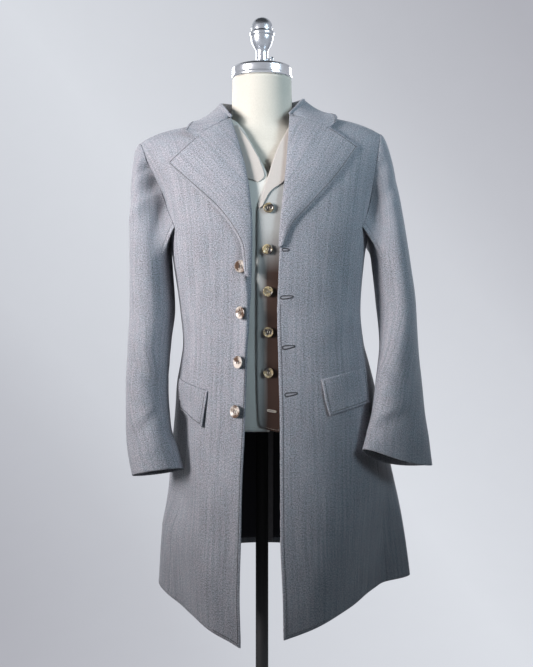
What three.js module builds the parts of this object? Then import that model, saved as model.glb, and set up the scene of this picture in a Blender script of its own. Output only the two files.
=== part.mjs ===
// Long jacket suit on a limbless dress form: an open long jacket over a waistcoat.
// Millimetres, +Z up, -Y to the front, +X to the wearer's left. Origin under the middle of the base.
// Every cloth piece is a thin wall between two skins worked out from girth rows, edge rows and folds.
import * as THREE from "three";

const DEG = Math.PI / 180;

// Walls and clearances
const JACKET_WALL = 1.8;
const VEST_WALL = 1.5;
const LINING_WALL = 1.0;
const FLAP_WALL = 2.0;
const SEAM_GAP = 0.4;

// Heights
const HEM_Z = 592;
const FRONT_POINT_DROP = { left: 31, right: 16 };
const ARMPIT_Z = 1262;
const VEST_HEM_Z = 905;
const NECK_HALF = 72;
const NECK_BACK_Y = 60;
const RIDGE_Y = 8;
const SHOULDER_REACH = 278;

// Seams, as turns round the body from the front (0) to the back (180), in degrees
const SIDE_FRONT_TURN = 62;
const SIDE_BACK_TURN = 118;

// Form, pole and base
const CAP_HALF = 57;
const CAP_BOTTOM_Z = 1548.3;
const POLE_RADIUS = 12;
const BASE_RADIUS = 205;
const BASE_THICK = 12;
const FORM_BOTTOM_Z = 912;

const table = (names, rows) => rows.map((row) => Object.fromEntries(names.map((n, i) => [n, row[i]])));
const mix = (a, b, t) => a + (b - a) * t;
const clamp = (t, lo, hi) => Math.min(hi, Math.max(lo, t));
const ease = (t) => {
  const c = clamp(t, 0, 1);
  return c * c * (3 - 2 * c);
};

// Reads one column of a table at a place along another, on a smooth curve that never overshoots.
function read(rows, by, name, at) {
  const n = rows.length;
  if (at <= rows[0][by]) return rows[0][name];
  if (at >= rows[n - 1][by]) return rows[n - 1][name];
  let k = 0;
  while (rows[k + 1][by] < at) k += 1;
  const slope = (i) => (rows[i + 1][name] - rows[i][name]) / (rows[i + 1][by] - rows[i][by]);
  const tangent = (i) => {
    if (i === 0) return slope(0);
    if (i === n - 1) return slope(n - 2);
    const a = slope(i - 1);
    const b = slope(i);
    return a * b <= 0 ? 0 : (2 * a * b) / (a + b);
  };
  const h = rows[k + 1][by] - rows[k][by];
  const t = (at - rows[k][by]) / h;
  const t2 = t * t;
  const t3 = t2 * t;
  return (
    (2 * t3 - 3 * t2 + 1) * rows[k][name] +
    (t3 - 2 * t2 + t) * h * tangent(k) +
    (3 * t2 - 2 * t3) * rows[k + 1][name] +
    (t3 - t2) * h * tangent(k + 1)
  );
}

// Girth rows of the jacket: half widths, front and back depth, widest place, squareness of each quarter
const GIRTH = ["z", "left", "right", "front", "back", "wide", "sqLeft", "sqRight", "sqBack"];
const JACKET = table(GIRTH, [
  [560, 199, 290, -207, 212, 45, 1.7, 1.32, 2.0],
  [615, 195, 284, -202, 202, 43, 1.72, 1.36, 2.0],
  [710, 189, 270, -190, 184, 36, 1.8, 1.5, 2.0],
  [786, 183, 254, -178, 166, 28, 1.9, 1.7, 2.0],
  [880, 174, 233, -160, 143, 18, 2.0, 1.9, 2.1],
  [957, 165, 217, -147, 123, 10, 2.1, 2.0, 2.1],
  [1014, 154, 202, -138, 108, 4, 2.2, 2.1, 2.2],
  [1050, 149, 192, -134, 102, 0, 2.2, 2.2, 2.2],
  [1110, 154, 186, -131, 103, 0, 2.3, 2.3, 2.3],
  [1205, 168, 193, -133, 113, 0, 2.3, 2.3, 2.3],
  [1262, 176, 203, -133, 118, 0, 2.3, 2.3, 2.3],
]);
const VEST = table(GIRTH, [
  [890, 143, 150, -124, 112, 0, 2.2, 2.2, 2.2],
  [957, 142, 148, -120, 104, 0, 2.2, 2.2, 2.2],
  [1014, 138, 142, -115, 95, 0, 2.2, 2.2, 2.2],
  [1055, 136, 139, -112, 90, 0, 2.2, 2.2, 2.2],
  [1110, 143, 143, -114, 91, 0, 2.2, 2.2, 2.2],
  [1205, 156, 156, -120, 100, 0, 2.3, 2.3, 2.3],
  [1262, 163, 163, -121, 106, 0, 2.3, 2.3, 2.3],
]);

// Shoulder line: height of the shoulder seam over the distance from the middle
const SHOULDER_LEFT = table(["x", "z"], [
  [0, 1482],
  [72, 1479],
  [107, 1467],
  [147, 1456],
  [177, 1450],
  [219, 1434],
  [236, 1421],
]);
const SHOULDER_RIGHT = table(["x", "z"], [
  [0, 1488],
  [72, 1485],
  [107, 1478],
  [147, 1471],
  [177, 1464],
  [204, 1454],
  [227, 1442],
]);
const VEST_SHOULDER = table(["x", "z"], [
  [0, 1477],
  [66, 1475.5],
  [72, 1475],
  [107, 1464.3],
  [147, 1453.3],
  [160, 1450.4],
]);

// Armholes: distance from the middle over the rise from armpit (0) to shoulder seam (1)
const ARMHOLE = {
  left: table(["rise", "front", "back"], [
    [0, 157, 157],
    [0.12, 175, 172],
    [0.23, 185, 184],
    [0.37, 200, 196],
    [0.52, 213, 206],
    [1, 234, 234],
  ]),
  right: table(["rise", "front", "back"], [
    [0, 181, 181],
    [0.1, 194, 190],
    [0.19, 200, 195],
    [0.37, 207, 201],
    [0.56, 214, 208],
    [1, 225, 225],
  ]),
};

// Front edges: signed distance to the wearer's side of the middle line over height
const EDGE_LEFT = table(["z", "x"], [
  [577, 36],
  [640, 38],
  [745, 35],
  [830, 33],
  [915, 29],
  [1020, 25.5],
  [1048, 25],
  [1082, 22.4],
  [1113, 21.2],
  [1151, 18.3],
  [1195, 18],
  [1243, 17.5],
  [1280, 20],
  [1350, 28],
  [1395, 37],
  [1430, 47],
  [1459, 59],
  [1479, 72],
]);
const EDGE_RIGHT = table(["z", "x"], [
  [577, 36],
  [640, 35],
  [745, 31],
  [915, 31],
  [1020, 29],
  [1110, 27],
  [1176, 29],
  [1238, 32],
  [1330, 39],
  [1403, 46],
  [1459, 52],
  [1485, 72],
]);
const VEST_EDGE_LEFT = table(["z", "x"], [
  [905, -13],
  [1300, -13],
  [1330, -12],
  [1352, -9],
  [1374, 1],
  [1412, 20],
  [1450, 42],
  [1474, 66],
]);
const VEST_EDGE_RIGHT = table(["z", "x"], [
  [905, -1],
  [925, -6],
  [1010, -9],
  [1290, -8],
  [1316, -1],
  [1350, 11],
  [1402, 28],
  [1449, 53],
  [1474, 66],
]);

// The left front edge rolls forward: distance of the crest from the edge, its height and its reach.
const ROLL = table(["z", "crest", "height", "reach"], [
  [560, 2, 0, 14],
  [700, 2, 3, 14],
  [860, 2.5, 6, 14],
  [962, 3, 9, 14],
  [1048, 4.5, 12, 13],
  [1110, 5.5, 13, 12],
  [1140, 8, 12, 12],
  [1165, 10.5, 8, 12],
  [1185, 11.5, 3, 12],
  [1205, 12, 0, 12],
]);
const CREST_SOFT = 1.5;

// How far the rolled edge stands forward at a distance from the edge.
function rollLift(away, z) {
  const crest = read(ROLL, "z", "crest", z);
  const past = away - crest;
  const outside = CREST_SOFT * Math.log(1 + Math.exp(clamp(past / CREST_SOFT, -30, 30)));
  const inside = outside - past;
  const rise = read(ROLL, "z", "height", z) * Math.exp(-Math.max(0, outside) / read(ROLL, "z", "reach", z));
  return rise - 1.1 * Math.max(0, inside) * ease((1235 - z) / 60);
}

// Soft folds of the jacket below the armpits. Turn is signed, the sign is the side.
const FOLDS = table(["turn", "lean", "top", "bottom", "fade", "wide", "lift"], [
  [-34, 4, 900, 500, 220, 9, 5],
  [-20, 2, 840, 500, 200, 7, -5],
  [-52, 0, 800, 500, 220, 9, -5],
  [-76, 0, 860, 500, 220, 10, 6],
  [30, -3, 880, 500, 240, 9, 5],
  [60, 0, 880, 500, 300, 16, -27],
  [69, 0, 880, 500, 300, 6, -8],
  [83, 0, 880, 500, 300, 7, 9],
  [95, 0, 860, 500, 240, 9, -6],
  [118, 0, 900, 500, 240, 11, 7],
  [146, 0, 840, 500, 240, 11, -6],
  [-118, 0, 900, 500, 240, 11, 7],
  [-100, 0, 840, 500, 240, 9, -6],
  [-146, 0, 840, 500, 240, 11, -6],
  [-64, 0, 990, 730, 90, 20, -19],
  [50, 0, 960, 780, 80, 22, -5],
]);

function foldLift(turn, z) {
  let lift = 0;
  for (const f of FOLDS) {
    if (z > f.top) continue;
    const middle = f.turn + f.lean * ((f.top - z) / (f.top - f.bottom));
    const away = (turn - middle) / f.wide;
    if (Math.abs(away) > 3) continue;
    const down = ease((f.top - z) / f.fade) * ease((z - f.bottom) / Math.min(90, f.fade) + 0.4);
    lift += f.lift * down * Math.exp(-away * away);
  }
  return lift;
}

const wave = (base, power) => Math.sign(base) * Math.pow(Math.abs(base), power);

function girthAt(rows, z) {
  return Object.fromEntries(GIRTH.map((n) => [n, n === "z" ? z : read(rows, "z", n, z)]));
}

// A point on a layer's ring. Turn is signed: 0 at the front, plus towards +X, 180 at the back.
function ringPoint(rows, turn, z, out = 0) {
  const g = girthAt(rows, z);
  const s = Math.sin(turn * DEG);
  const c = Math.cos(turn * DEG);
  const half = s < 0 ? g.left : g.right;
  const front = s < 0 ? g.sqLeft : g.sqRight;
  const square = c > 0 ? front : g.sqBack;
  const deep = c > 0 ? g.wide - g.front : g.back - g.wide;
  const x = half * wave(s, 2 / square);
  const y = g.wide - deep * wave(c, 2 / square);
  const lift = out + (rows === JACKET ? foldLift(turn, z) : 0);
  return new THREE.Vector3(x + s * lift, y - c * lift, z);
}

// The turn at which a ring passes a signed distance x from the middle.
function turnOf(rows, x, z) {
  const g = girthAt(rows, z);
  const half = x < 0 ? g.left : g.right;
  const square = x < 0 ? g.sqLeft : g.sqRight;
  return (Math.asin(clamp(Math.pow(Math.abs(x) / half, square / 2), 0, 1)) / DEG) * Math.sign(x);
}

const LAYERS = {
  jacket: { rows: JACKET, shoulder: (x) => (x < 0 ? SHOULDER_LEFT : SHOULDER_RIGHT), reach: SHOULDER_REACH },
  vest: { rows: VEST, shoulder: () => VEST_SHOULDER, reach: 262 },
};

// A point above the armpits: x is kept up each column and the rise runs from 0 to 1 at the shoulder seam.
function highPoint(layer, x, rise, back) {
  const g = girthAt(layer.rows, ARMPIT_Z);
  const half = mix(x < 0 ? g.left : g.right, layer.reach, ease(rise));
  const square = g.sqBack;
  const flat = Math.pow(Math.max(0, 1 - Math.pow(Math.abs(x) / half, square)), 1 / square);
  const chestY = g.wide + (back ? g.back - g.wide : g.front - g.wide) * flat;
  const arc = clamp(rise, 0, 1) * 90 * DEG;
  const top = read(layer.shoulder(x), "x", "z", Math.abs(x));
  const near = back ? RIDGE_Y + 0.25 : RIDGE_Y - 0.25;
  const y = near + (chestY - near) * Math.pow(Math.max(0, Math.cos(arc)), 2 / 2.4);
  return new THREE.Vector3(x, y, ARMPIT_Z + (top - ARMPIT_Z) * Math.sin(arc));
}

function riseOf(layer, x, z) {
  const top = read(layer.shoulder(x), "x", "z", Math.abs(x));
  return Math.asin(clamp((z - ARMPIT_Z) / (top - ARMPIT_Z), 0, 1)) / (90 * DEG);
}

// A point of the front of a layer from its distance to the middle and its height.
function frontPoint(layer, x, z) {
  if (z > ARMPIT_Z) return highPoint(layer, x, riseOf(layer, x, z), false);
  return ringPoint(layer.rows, turnOf(layer.rows, x, z), z);
}

// The outward direction of a skin at u, v, by small steps.
function normalOf(skin, u, v, flip, level) {
  const e = 0.004;
  const across = skin(u + e, v).sub(skin(u - e, v));
  const up = skin(u, Math.min(1, v + e)).sub(skin(u, v - e));
  const n = across.cross(up).normalize();
  if (flip) n.negate();
  if (level && v > 0.9999) n.set(n.x, 0, n.z).normalize();
  return n;
}

// A skin moved out of another along its normal, or into it when the distance is negative.
function moved(skin, flip, distance) {
  return (u, v) => {
    const d = typeof distance === "function" ? distance(u, v) : distance;
    return skin(u, v).addScaledVector(normalOf(skin, u, v, flip, false), d);
  };
}

const group = new THREE.Group();

function add(name, geometry, colour, roughness, metalness) {
  const material = new THREE.MeshStandardMaterial({ color: colour, roughness, metalness });
  const mesh = new THREE.Mesh(geometry, material);
  mesh.name = name;
  group.add(mesh);
  return mesh;
}

// A closed thin wall: an outer skin, an inner skin one wall inside it, and the rims between them.
function wall(skin, across, up, thick, { flip = false, level = false, round = false } = {}) {
  const outer = [];
  const inner = [];
  for (let j = 0; j < up.length; j += 1) {
    for (let i = 0; i < across.length; i += 1) {
      const p = skin(across[i], up[j]);
      const n = normalOf(skin, across[i], up[j], flip, level);
      outer.push(p);
      inner.push(p.clone().addScaledVector(n, -thick));
    }
  }
  const w = across.length;
  const h = up.length;
  const points = [...outer, ...inner];
  const faces = [];
  const quad = (a, b, c, d) => {
    if (flip) faces.push(a, c, b, a, d, c);
    else faces.push(a, b, c, a, c, d);
  };
  const off = outer.length;
  const cols = round ? w : w - 1;
  const at = (i, j) => j * w + (i % w);
  for (let j = 0; j < h - 1; j += 1) {
    for (let i = 0; i < cols; i += 1) {
      quad(at(i, j), at(i + 1, j), at(i + 1, j + 1), at(i, j + 1));
      quad(off + at(i, j), off + at(i, j + 1), off + at(i + 1, j + 1), off + at(i + 1, j));
    }
  }
  for (let i = 0; i < cols; i += 1) {
    quad(at(i, 0), off + at(i, 0), off + at(i + 1, 0), at(i + 1, 0));
    quad(at(i, h - 1), at(i + 1, h - 1), off + at(i + 1, h - 1), off + at(i, h - 1));
  }
  if (!round) {
    for (let j = 0; j < h - 1; j += 1) {
      quad(at(0, j), at(0, j + 1), off + at(0, j + 1), off + at(0, j));
      quad(at(w - 1, j), off + at(w - 1, j), off + at(w - 1, j + 1), at(w - 1, j + 1));
    }
  }
  return solid(points, faces);
}

function solid(points, faces) {
  const g = new THREE.BufferGeometry();
  g.setAttribute("position", new THREE.Float32BufferAttribute(points.flatMap((p) => [p.x, p.y, p.z]), 3));
  g.setIndex(faces);
  g.computeVertexNormals();
  return g;
}

const steps = (from, to, count) => Array.from({ length: count + 1 }, (_, i) => mix(from, to, i / count));

// Jacket body. v runs from the hem to the armpit over LOW of its length, then up to the shoulder seam.
const LOW = 0.62;
const ROWS_V = [...steps(0, LOW, 12), ...steps(LOW, 1, 8).slice(1)];
const FRONT_U = steps(0, 1, 9);
const gapTurn = (g) => (SEAM_GAP / 2 / g) / DEG;

// The side front seam runs a little further back towards the hem on the fuller right side.
function sideFrontTurn(side, z) {
  return SIDE_FRONT_TURN + (side > 0 ? 8 * ease((900 - z) / 308) : 0);
}

function hemZ(side, turn) {
  const drop = side < 0 ? FRONT_POINT_DROP.left : FRONT_POINT_DROP.right;
  return HEM_Z - drop * (1 - ease((Math.abs(turn) - 6) / 36));
}

function frontSkin(side) {
  const name = side < 0 ? "left" : "right";
  const edge = side < 0 ? EDGE_LEFT : EDGE_RIGHT;
  const seamAt = (z) => sideFrontTurn(side, z) - gapTurn(180);
  const low = (u, z) => {
    const start = Math.abs(turnOf(JACKET, side * read(edge, "z", "x", z), z));
    const turn = mix(start, seamAt(z), u);
    return ringPoint(JACKET, side * turn, z);
  };
  const spread = (u) => {
    const a = Math.abs(low(0, ARMPIT_Z).x);
    const b = Math.abs(low(1, ARMPIT_Z).x);
    return (Math.abs(low(u, ARMPIT_Z).x) - a) / (b - a);
  };
  return (u, v) => {
    if (v <= LOW) {
      const rough = mix(HEM_Z, ARMPIT_Z, v / LOW);
      const start = Math.abs(turnOf(JACKET, side * read(edge, "z", "x", rough), rough));
      const hem = hemZ(side, mix(start, seamAt(rough), u));
      const p = low(u, mix(hem, ARMPIT_Z, v / LOW));
      if (side < 0) p.y -= rollLift(-p.x - read(edge, "z", "x", p.z), p.z);
      return p;
    }
    const rise = (v - LOW) / (1 - LOW);
    const top = read(side < 0 ? SHOULDER_LEFT : SHOULDER_RIGHT, "x", "z", NECK_HALF);
    const edgeX = read(edge, "z", "x", mix(ARMPIT_Z, top, Math.sin(Math.min(1, rise) * 90 * DEG)));
    const armX = read(ARMHOLE[name], "rise", "front", rise) - 2 * SEAM_GAP;
    const x = mix(edgeX, armX, spread(u));
    return highPoint(LAYERS.jacket, side * x, rise, false);
  };
}

function sideSkin(side) {
  const b = SIDE_BACK_TURN - gapTurn(180);
  return (u, v) => {
    const z = mix(HEM_Z, ARMPIT_Z - 2.4, v);
    return ringPoint(JACKET, side * mix(sideFrontTurn(side, z) + gapTurn(180), b, u), z);
  };
}

function backSkin(side, inset = 0) {
  const name = side < 0 ? "left" : "right";
  const a = SIDE_BACK_TURN + gapTurn(180);
  const b = 180 - gapTurn(120);
  const low = (u, z) => ringPoint(JACKET, side * mix(a, b, u), z, -inset);
  const base = (u) => Math.abs(low(u, ARMPIT_Z).x);
  return (u, v) => {
    if (v <= LOW) return low(u, mix(HEM_Z, ARMPIT_Z, v / LOW));
    const share = (v - LOW) / (1 - LOW);
    const part = (base(u) - base(1)) / (base(0) - base(1));
    const xAt = (rise) => mix(base(1), read(ARMHOLE[name], "rise", "back", rise) - 2 * SEAM_GAP, part);
    const topX = xAt(1);
    let end = 1;
    if (Math.abs(topX) < NECK_HALF) {
      const neckY = (NECK_BACK_Y - RIDGE_Y) * Math.sqrt(1 - (topX / NECK_HALF) ** 2);
      const deep = girthAt(JACKET, ARMPIT_Z).back - RIDGE_Y;
      end = Math.acos(clamp(Math.pow(neckY / deep, 1.2), 0, 1)) / (90 * DEG);
    }
    const rise = share * end;
    return highPoint(LAYERS.jacket, side * xAt(rise), rise, true);
  };
}

const WOOL = "#8f949e";
const WOOL_DARK = "#7f858f";
const CREAM = "#e3dccf";
const LINING = "#0d0d14";
for (const side of [-1, 1]) {
  const name = side < 0 ? "left" : "right";
  const flip = side < 0;
  const make = (part, geometry, colour = WOOL) => add("jacket_" + part + "_" + name, geometry, colour, 0.9, 0);
  const across = side < 0 ? [0, 0.045, 0.1, 0.17, 0.25, ...FRONT_U.slice(3)] : FRONT_U;
  make("front", wall(frontSkin(side), across, ROWS_V, JACKET_WALL, { flip, level: true }));
  make("side", wall(sideSkin(side), steps(0, 1, 6), steps(0, 1, 12), JACKET_WALL, { flip }), WOOL_DARK);
  make("back", wall(backSkin(side), steps(0, 1, 8), ROWS_V, JACKET_WALL, { flip, level: true }));
}

// Vent underlap: a strip behind the centre back seam, inside the lining of the other half
const VENT_TOP_Z = 905;
const UNDERLAP_INSET = JACKET_WALL + LINING_WALL + 4 * SEAM_GAP;
const underlap = (u, v) => {
  const z = mix(HEM_Z + 6, VENT_TOP_Z, v);
  const g = girthAt(JACKET, z);
  const x = mix(-8, 24, u);
  const square = g.sqBack;
  const turn = 180 - Math.asin(Math.pow(Math.abs(x) / g.right, square / 2)) / DEG;
  return ringPoint(JACKET, (x < 0 ? -1 : 1) * turn, z, -UNDERLAP_INSET);
};
add("jacket_vent_underlap", wall(underlap, steps(0, 1, 3), steps(0, 1, 7), 1.5, { flip: true }), WOOL, 0.9, 0);

// Skirt linings: an inner skin behind each panel, from above the hem to the hips
const LINING_V = [0.012, ...ROWS_V.filter((v) => v > 0 && v < 0.4)];
const SIDE_U = steps(0, 1, 6);
const BACK_U = steps(0, 1, 8);
for (const side of [-1, 1]) {
  const name = side < 0 ? "left" : "right";
  const flip = side < 0;
  const line = (part, skin, across) => {
    const geometry = wall(moved(skin, flip, -(JACKET_WALL + SEAM_GAP)), across, LINING_V, LINING_WALL, { flip });
    add("lining_" + part + "_" + name, geometry, LINING, 0.5, 0);
  };
  line("front", frontSkin(side), FRONT_U.filter((u) => u > 0.3));
  line("side", (u, v) => sideSkin(side)(u, v / LOW), SIDE_U);
  line("back", backSkin(side), BACK_U);
}

// Lapels: patches on the fronts, moved out. Rows give the roll edge and the free edge from the bottom up.
const LAPEL_ROWS = {
  left: table(["v", "rollX", "rollZ", "freeX", "freeZ"], [
    [0, 18, 1174, 29, 1178],
    [0.15, 17, 1222, 35, 1226],
    [0.32, 17, 1268, 55, 1264],
    [0.48, 21, 1315, 79, 1294],
    [0.66, 29, 1362, 114, 1327],
    [1, 57, 1461, 171, 1379],
  ]),
  right: table(["v", "rollX", "rollZ", "freeX", "freeZ"], [
    [0, 29, 1226, 39, 1230],
    [0.15, 31, 1262, 53, 1262],
    [0.34, 36, 1310, 92, 1306],
    [0.6, 43, 1372, 136, 1356],
    [1, 51, 1466, 174, 1408],
  ]),
};
// The gorge bends the top edge: at this share across, the seam with the collar ends at the notch.
const GORGE = { left: [0.55, 118, 1421], right: [0.57, 121, 1440] };

const lapelPoint = (side, u, v) => {
  const rows = LAPEL_ROWS[side < 0 ? "left" : "right"];
  const at = (n) => read(rows, "v", n, v);
  const [share, gx, gz] = GORGE[side < 0 ? "left" : "right"];
  const last = rows[rows.length - 1];
  const bend = Math.max(0, 1 - Math.abs(u - share) / (u < share ? share : 1 - share)) * Math.pow(Math.max(0, v), 3);
  const x = mix(at("rollX"), at("freeX"), u) + bend * (gx - mix(last.rollX, last.freeX, share));
  const z = mix(at("rollZ"), at("freeZ"), u) + bend * (gz - mix(last.rollZ, last.freeZ, share));
  return [x, z];
};

// Moves a place on the front of a layer out along the cloth's own normal.
function outFrom(layer, side, x, z, out) {
  const e = 1.5;
  const dx = frontPoint(layer, side * (x + e), z).sub(frontPoint(layer, side * (x - e), z));
  const dz = frontPoint(layer, side * x, z + e).sub(frontPoint(layer, side * x, z - e));
  const n = dx.cross(dz).normalize();
  if (n.y > 0) n.negate();
  return frontPoint(layer, side * x, z).addScaledVector(n, out);
}

// The left lapel rolls more loosely towards its lower end.
const lapelSkin = (side) => (u, v) => {
  const [x, z] = lapelPoint(side, u, v);
  const belly = Math.sin(Math.PI * clamp(u, 0, 1)) * 3.5;
  const loose = side < 0 ? 10 * (1 - clamp(v / 0.3, 0, 1)) ** 2 : 0;
  return outFrom(LAYERS.jacket, side, x, z, (side < 0 ? 3.7 : 3.3) + belly + loose);
};

for (const side of [-1, 1]) {
  const name = side < 0 ? "left" : "right";
  const skin = lapelSkin(side);
  const across = [0, 0.12, 0.25, 0.375, 0.5, 0.625, 0.75, 0.88, 1];
  const geometry = wall(skin, across, steps(0, 1, 11), FLAP_WALL, { flip: side < 0 });
  add("jacket_lapel_" + name, geometry, "#a7a9b2", 0.9, 0);
}

// Collar: stations from the left front end round the back to the right front end.
// roll is the top of the fold, free is the outer edge of the fall, foot is the bottom of the stand.
const COLLAR = table(
  ["w", "rollX", "rollY", "rollZ", "freeX", "freeY", "freeZ", "footX", "footY", "footZ"],
  [
    [0, -60, -78, 1467, -139, -66, 1441, -56, -70, 1461],
    [0.1, -69, -50, 1485, -142, -38, 1455, -63, -48, 1472],
    [0.22, -78, -6, 1502, -134, 0, 1466, -69, -6, 1481],
    [0.36, -58, 44, 1511, -92, 56, 1460, -56, 38, 1478],
    [0.5, 0, 66, 1514, 0, 84, 1450, 0, 62, 1474],
    [0.64, 60, 44, 1515, 94, 56, 1470, 57, 38, 1482],
    [0.78, 78, -6, 1511, 134, 0, 1482, 69, -6, 1487],
    [0.9, 66, -48, 1491, 139, -40, 1470, 60, -46, 1478],
    [1, 54, -78, 1473, 134, -62, 1457, 50, -70, 1466],
  ]
);

// The collar's front ends meet the lapels along the gorge seam, then run free from the notch to the corner.
const GORGE_SHARE = 0.6;
const gorgePoint = (side, s, free) => {
  const share = GORGE[side < 0 ? "left" : "right"][0] * clamp(s / GORGE_SHARE, 0, 1);
  const skin = lapelSkin(side);
  const p = skin(share, 1);
  const up = p.clone().sub(skin(share, 0.985)).normalize();
  p.addScaledVector(up, 1.2);
  return p.lerp(free, clamp((s - GORGE_SHARE) / (1 - GORGE_SHARE), 0, 1));
};

const FOLD_RADIUS = 4;
const END_SHARE = 0.12;
const collarPoint = (u, w) => {
  const at = (n) => read(COLLAR, "w", n, clamp(w, 0, 1));
  const roll = new THREE.Vector3(at("rollX"), at("rollY"), at("rollZ"));
  const free = new THREE.Vector3(at("freeX"), at("freeY"), at("freeZ"));
  const foot = new THREE.Vector3(at("footX"), at("footY"), at("footZ"));
  const away = new THREE.Vector3(free.x - foot.x, free.y - foot.y, 0).normalize();
  const middle = roll.clone().add(new THREE.Vector3(0, 0, -FOLD_RADIUS));
  const turn = (a) =>
    middle.clone().addScaledVector(away, FOLD_RADIUS * Math.cos(a)).add(new THREE.Vector3(0, 0, FOLD_RADIUS * Math.sin(a)));
  const standTop = turn(Math.PI);
  const fallTop = turn(0);
  const side = w < 0.5 ? -1 : 1;
  const end = ease(1 - Math.min(w, 1 - w) / END_SHARE);
  const shift = end > 0 ? gorgePoint(side, 0, free).sub(fallTop).multiplyScalar(end * Math.min(1, u / 0.5)) : null;
  if (u < 0.5) {
    const p = u < 0.3 ? foot.lerp(standTop, u / 0.3) : turn(Math.PI * (1 - (u - 0.3) / 0.2));
    return shift ? p.add(shift) : p;
  }
  const s = (u - 0.5) / 0.5;
  const edge = end > 0 ? gorgePoint(side, s, free) : null;
  const p = fallTop.lerp(free, s);
  p.z -= Math.sin(Math.PI * clamp(s, 0, 1)) * 5 * ease(Math.min(w, 1 - w) / 0.15);
  return edge ? p.lerp(edge, end) : p;
};
const COLLAR_U = [0, 0.15, 0.3, 0.36, 0.43, 0.5, 0.62, 0.75, 0.88, 1];
add(
  "jacket_collar",
  wall((u, v) => collarPoint(v, u), steps(0, 1, 24), COLLAR_U, 1.8, { flip: false }),
  "#a2a5ae",
  0.9,
  0
);

// Pocket flaps: four corners as distance from the middle and height, then how far the top and bottom stand off.
const FLAPS = table(["side", "x1", "z1", "x2", "z2", "x3", "z3", "x4", "z4"], [
  [-1, 94, 975, 150, 987, 157, 930, 103, 913],
  [1, 101, 996, 186, 1009, 188, 948, 114, 935],
]);
for (const f of FLAPS) {
  const skin = (u, v) => {
    const x = mix(mix(f.x4, f.x3, u), mix(f.x1, f.x2, u), v);
    const z = mix(mix(f.z4, f.z3, u), mix(f.z1, f.z2, u), v);
    const out = mix(7.6, 3.8, v) - (v > 0.9 ? 0.7 : 0);
    return ringPoint(JACKET, turnOf(JACKET, f.side * x, z), z, out);
  };
  const geometry = wall(skin, steps(0, 1, 6), steps(0, 1, 4), FLAP_WALL, { flip: f.side < 0 });
  add("jacket_flap_" + (f.side < 0 ? "left" : "right"), geometry, "#9599a3", 0.9, 0);
}

// Sleeves. Rows below the cap: the middle, the two half widths, the spin of the oval, then how much the
// ring lifts at its front (slant), at its outer side (tip) and at both sides together (dip).
const SLEEVE_NAMES = ["z", "x", "y", "wide", "deep", "spin", "slant", "tip", "dip"];
const SLEEVE = {
  left: table(SLEEVE_NAMES, [
    [823, 187, -79, 46, 48, 23, 17, 0, 0],
    [858, 197, -69, 45, 50, 20, 12, 0, 0],
    [900, 208, -52, 41, 54, 12, 4, 0, 0],
    [975, 213, -32, 39, 60, 2, 0, 0, 0],
    [1050, 211, -18, 40, 66, 0, 0, 0, 0],
    [1110, 207, -8, 42, 70, 0, 0, 0, 0],
    [1190, 210, -4, 40, 73, 0, 0, 0, 0],
  ]),
  right: table(SLEEVE_NAMES, [
    [843, 246, -72, 31, 82, 56, 26, 6.75, -5],
    [880, 247, -68, 32, 75, 54, 14, 3, -2],
    [930, 250, -56, 34, 69, 44, 4, 0, 0],
    [1000, 254, -36, 36, 69, 28, 0, 0, 0],
    [1050, 256, -22, 36, 70, 14, 0, 0, 0],
    [1130, 252, -8, 36, 73, 0, 0, 0, 0],
    [1200, 244, -4, 35, 75, 0, 0, 0, 0],
  ]),
};
const CAP = 0.34;

function armLoop(side) {
  const name = side < 0 ? "left" : "right";
  const points = [];
  const push = (p) => points.push(p);
  for (let k = 24; k >= 0; k -= 1) {
    const rise = k / 24;
    push(highPoint(LAYERS.jacket, side * read(ARMHOLE[name], "rise", "front", rise), rise, false));
  }
  for (let k = 1; k < 12; k += 1) {
    push(ringPoint(JACKET, side * mix(SIDE_FRONT_TURN, SIDE_BACK_TURN, k / 12), ARMPIT_Z));
  }
  for (let k = 0; k <= 24; k += 1) {
    const rise = k / 24;
    push(highPoint(LAYERS.jacket, side * read(ARMHOLE[name], "rise", "back", rise), rise, true));
  }
  const bottom = 24 + 6;
  const run = [0];
  for (let k = 1; k < points.length; k += 1) run.push(run[k - 1] + points[k].distanceTo(points[k - 1]));
  const at = (length) => {
    let k = 0;
    while (k < run.length - 2 && run[k + 1] < length) k += 1;
    return points[k].clone().lerp(points[k + 1], clamp((length - run[k]) / (run[k + 1] - run[k]), 0, 1));
  };
  return (angle) => {
    const a = ((angle % 360) + 360) % 360;
    if (a <= 180) return at((run[bottom] * a) / 180);
    return at(mix(run[bottom], run[run.length - 1], (a - 180) / 180));
  };
}

// Creases of the sleeves: angle round the sleeve, height, slant of the crease, width and lift.
const CREASES = {
  left: table(["angle", "z", "tilt", "wide", "high", "lift"], [
    [70, 1345, 0.6, 40, 16, -5],
    [60, 1300, 0.5, 44, 14, 3],
    [90, 1000, -0.4, 50, 12, -5],
    [80, 960, -0.4, 50, 14, 3],
    [60, 900, 0.5, 50, 16, -4],
    [250, 1010, 0.3, 50, 14, -4],
  ]),
  right: table(["angle", "z", "tilt", "wide", "high", "lift"], [
    [60, 1330, -0.5, 40, 16, -4],
    [90, 1010, 0.4, 50, 13, -5],
    [60, 960, 0.4, 55, 14, 3],
    [70, 905, -0.4, 50, 16, -4],
    [250, 1030, -0.3, 50, 14, -4],
  ]),
};

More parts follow.
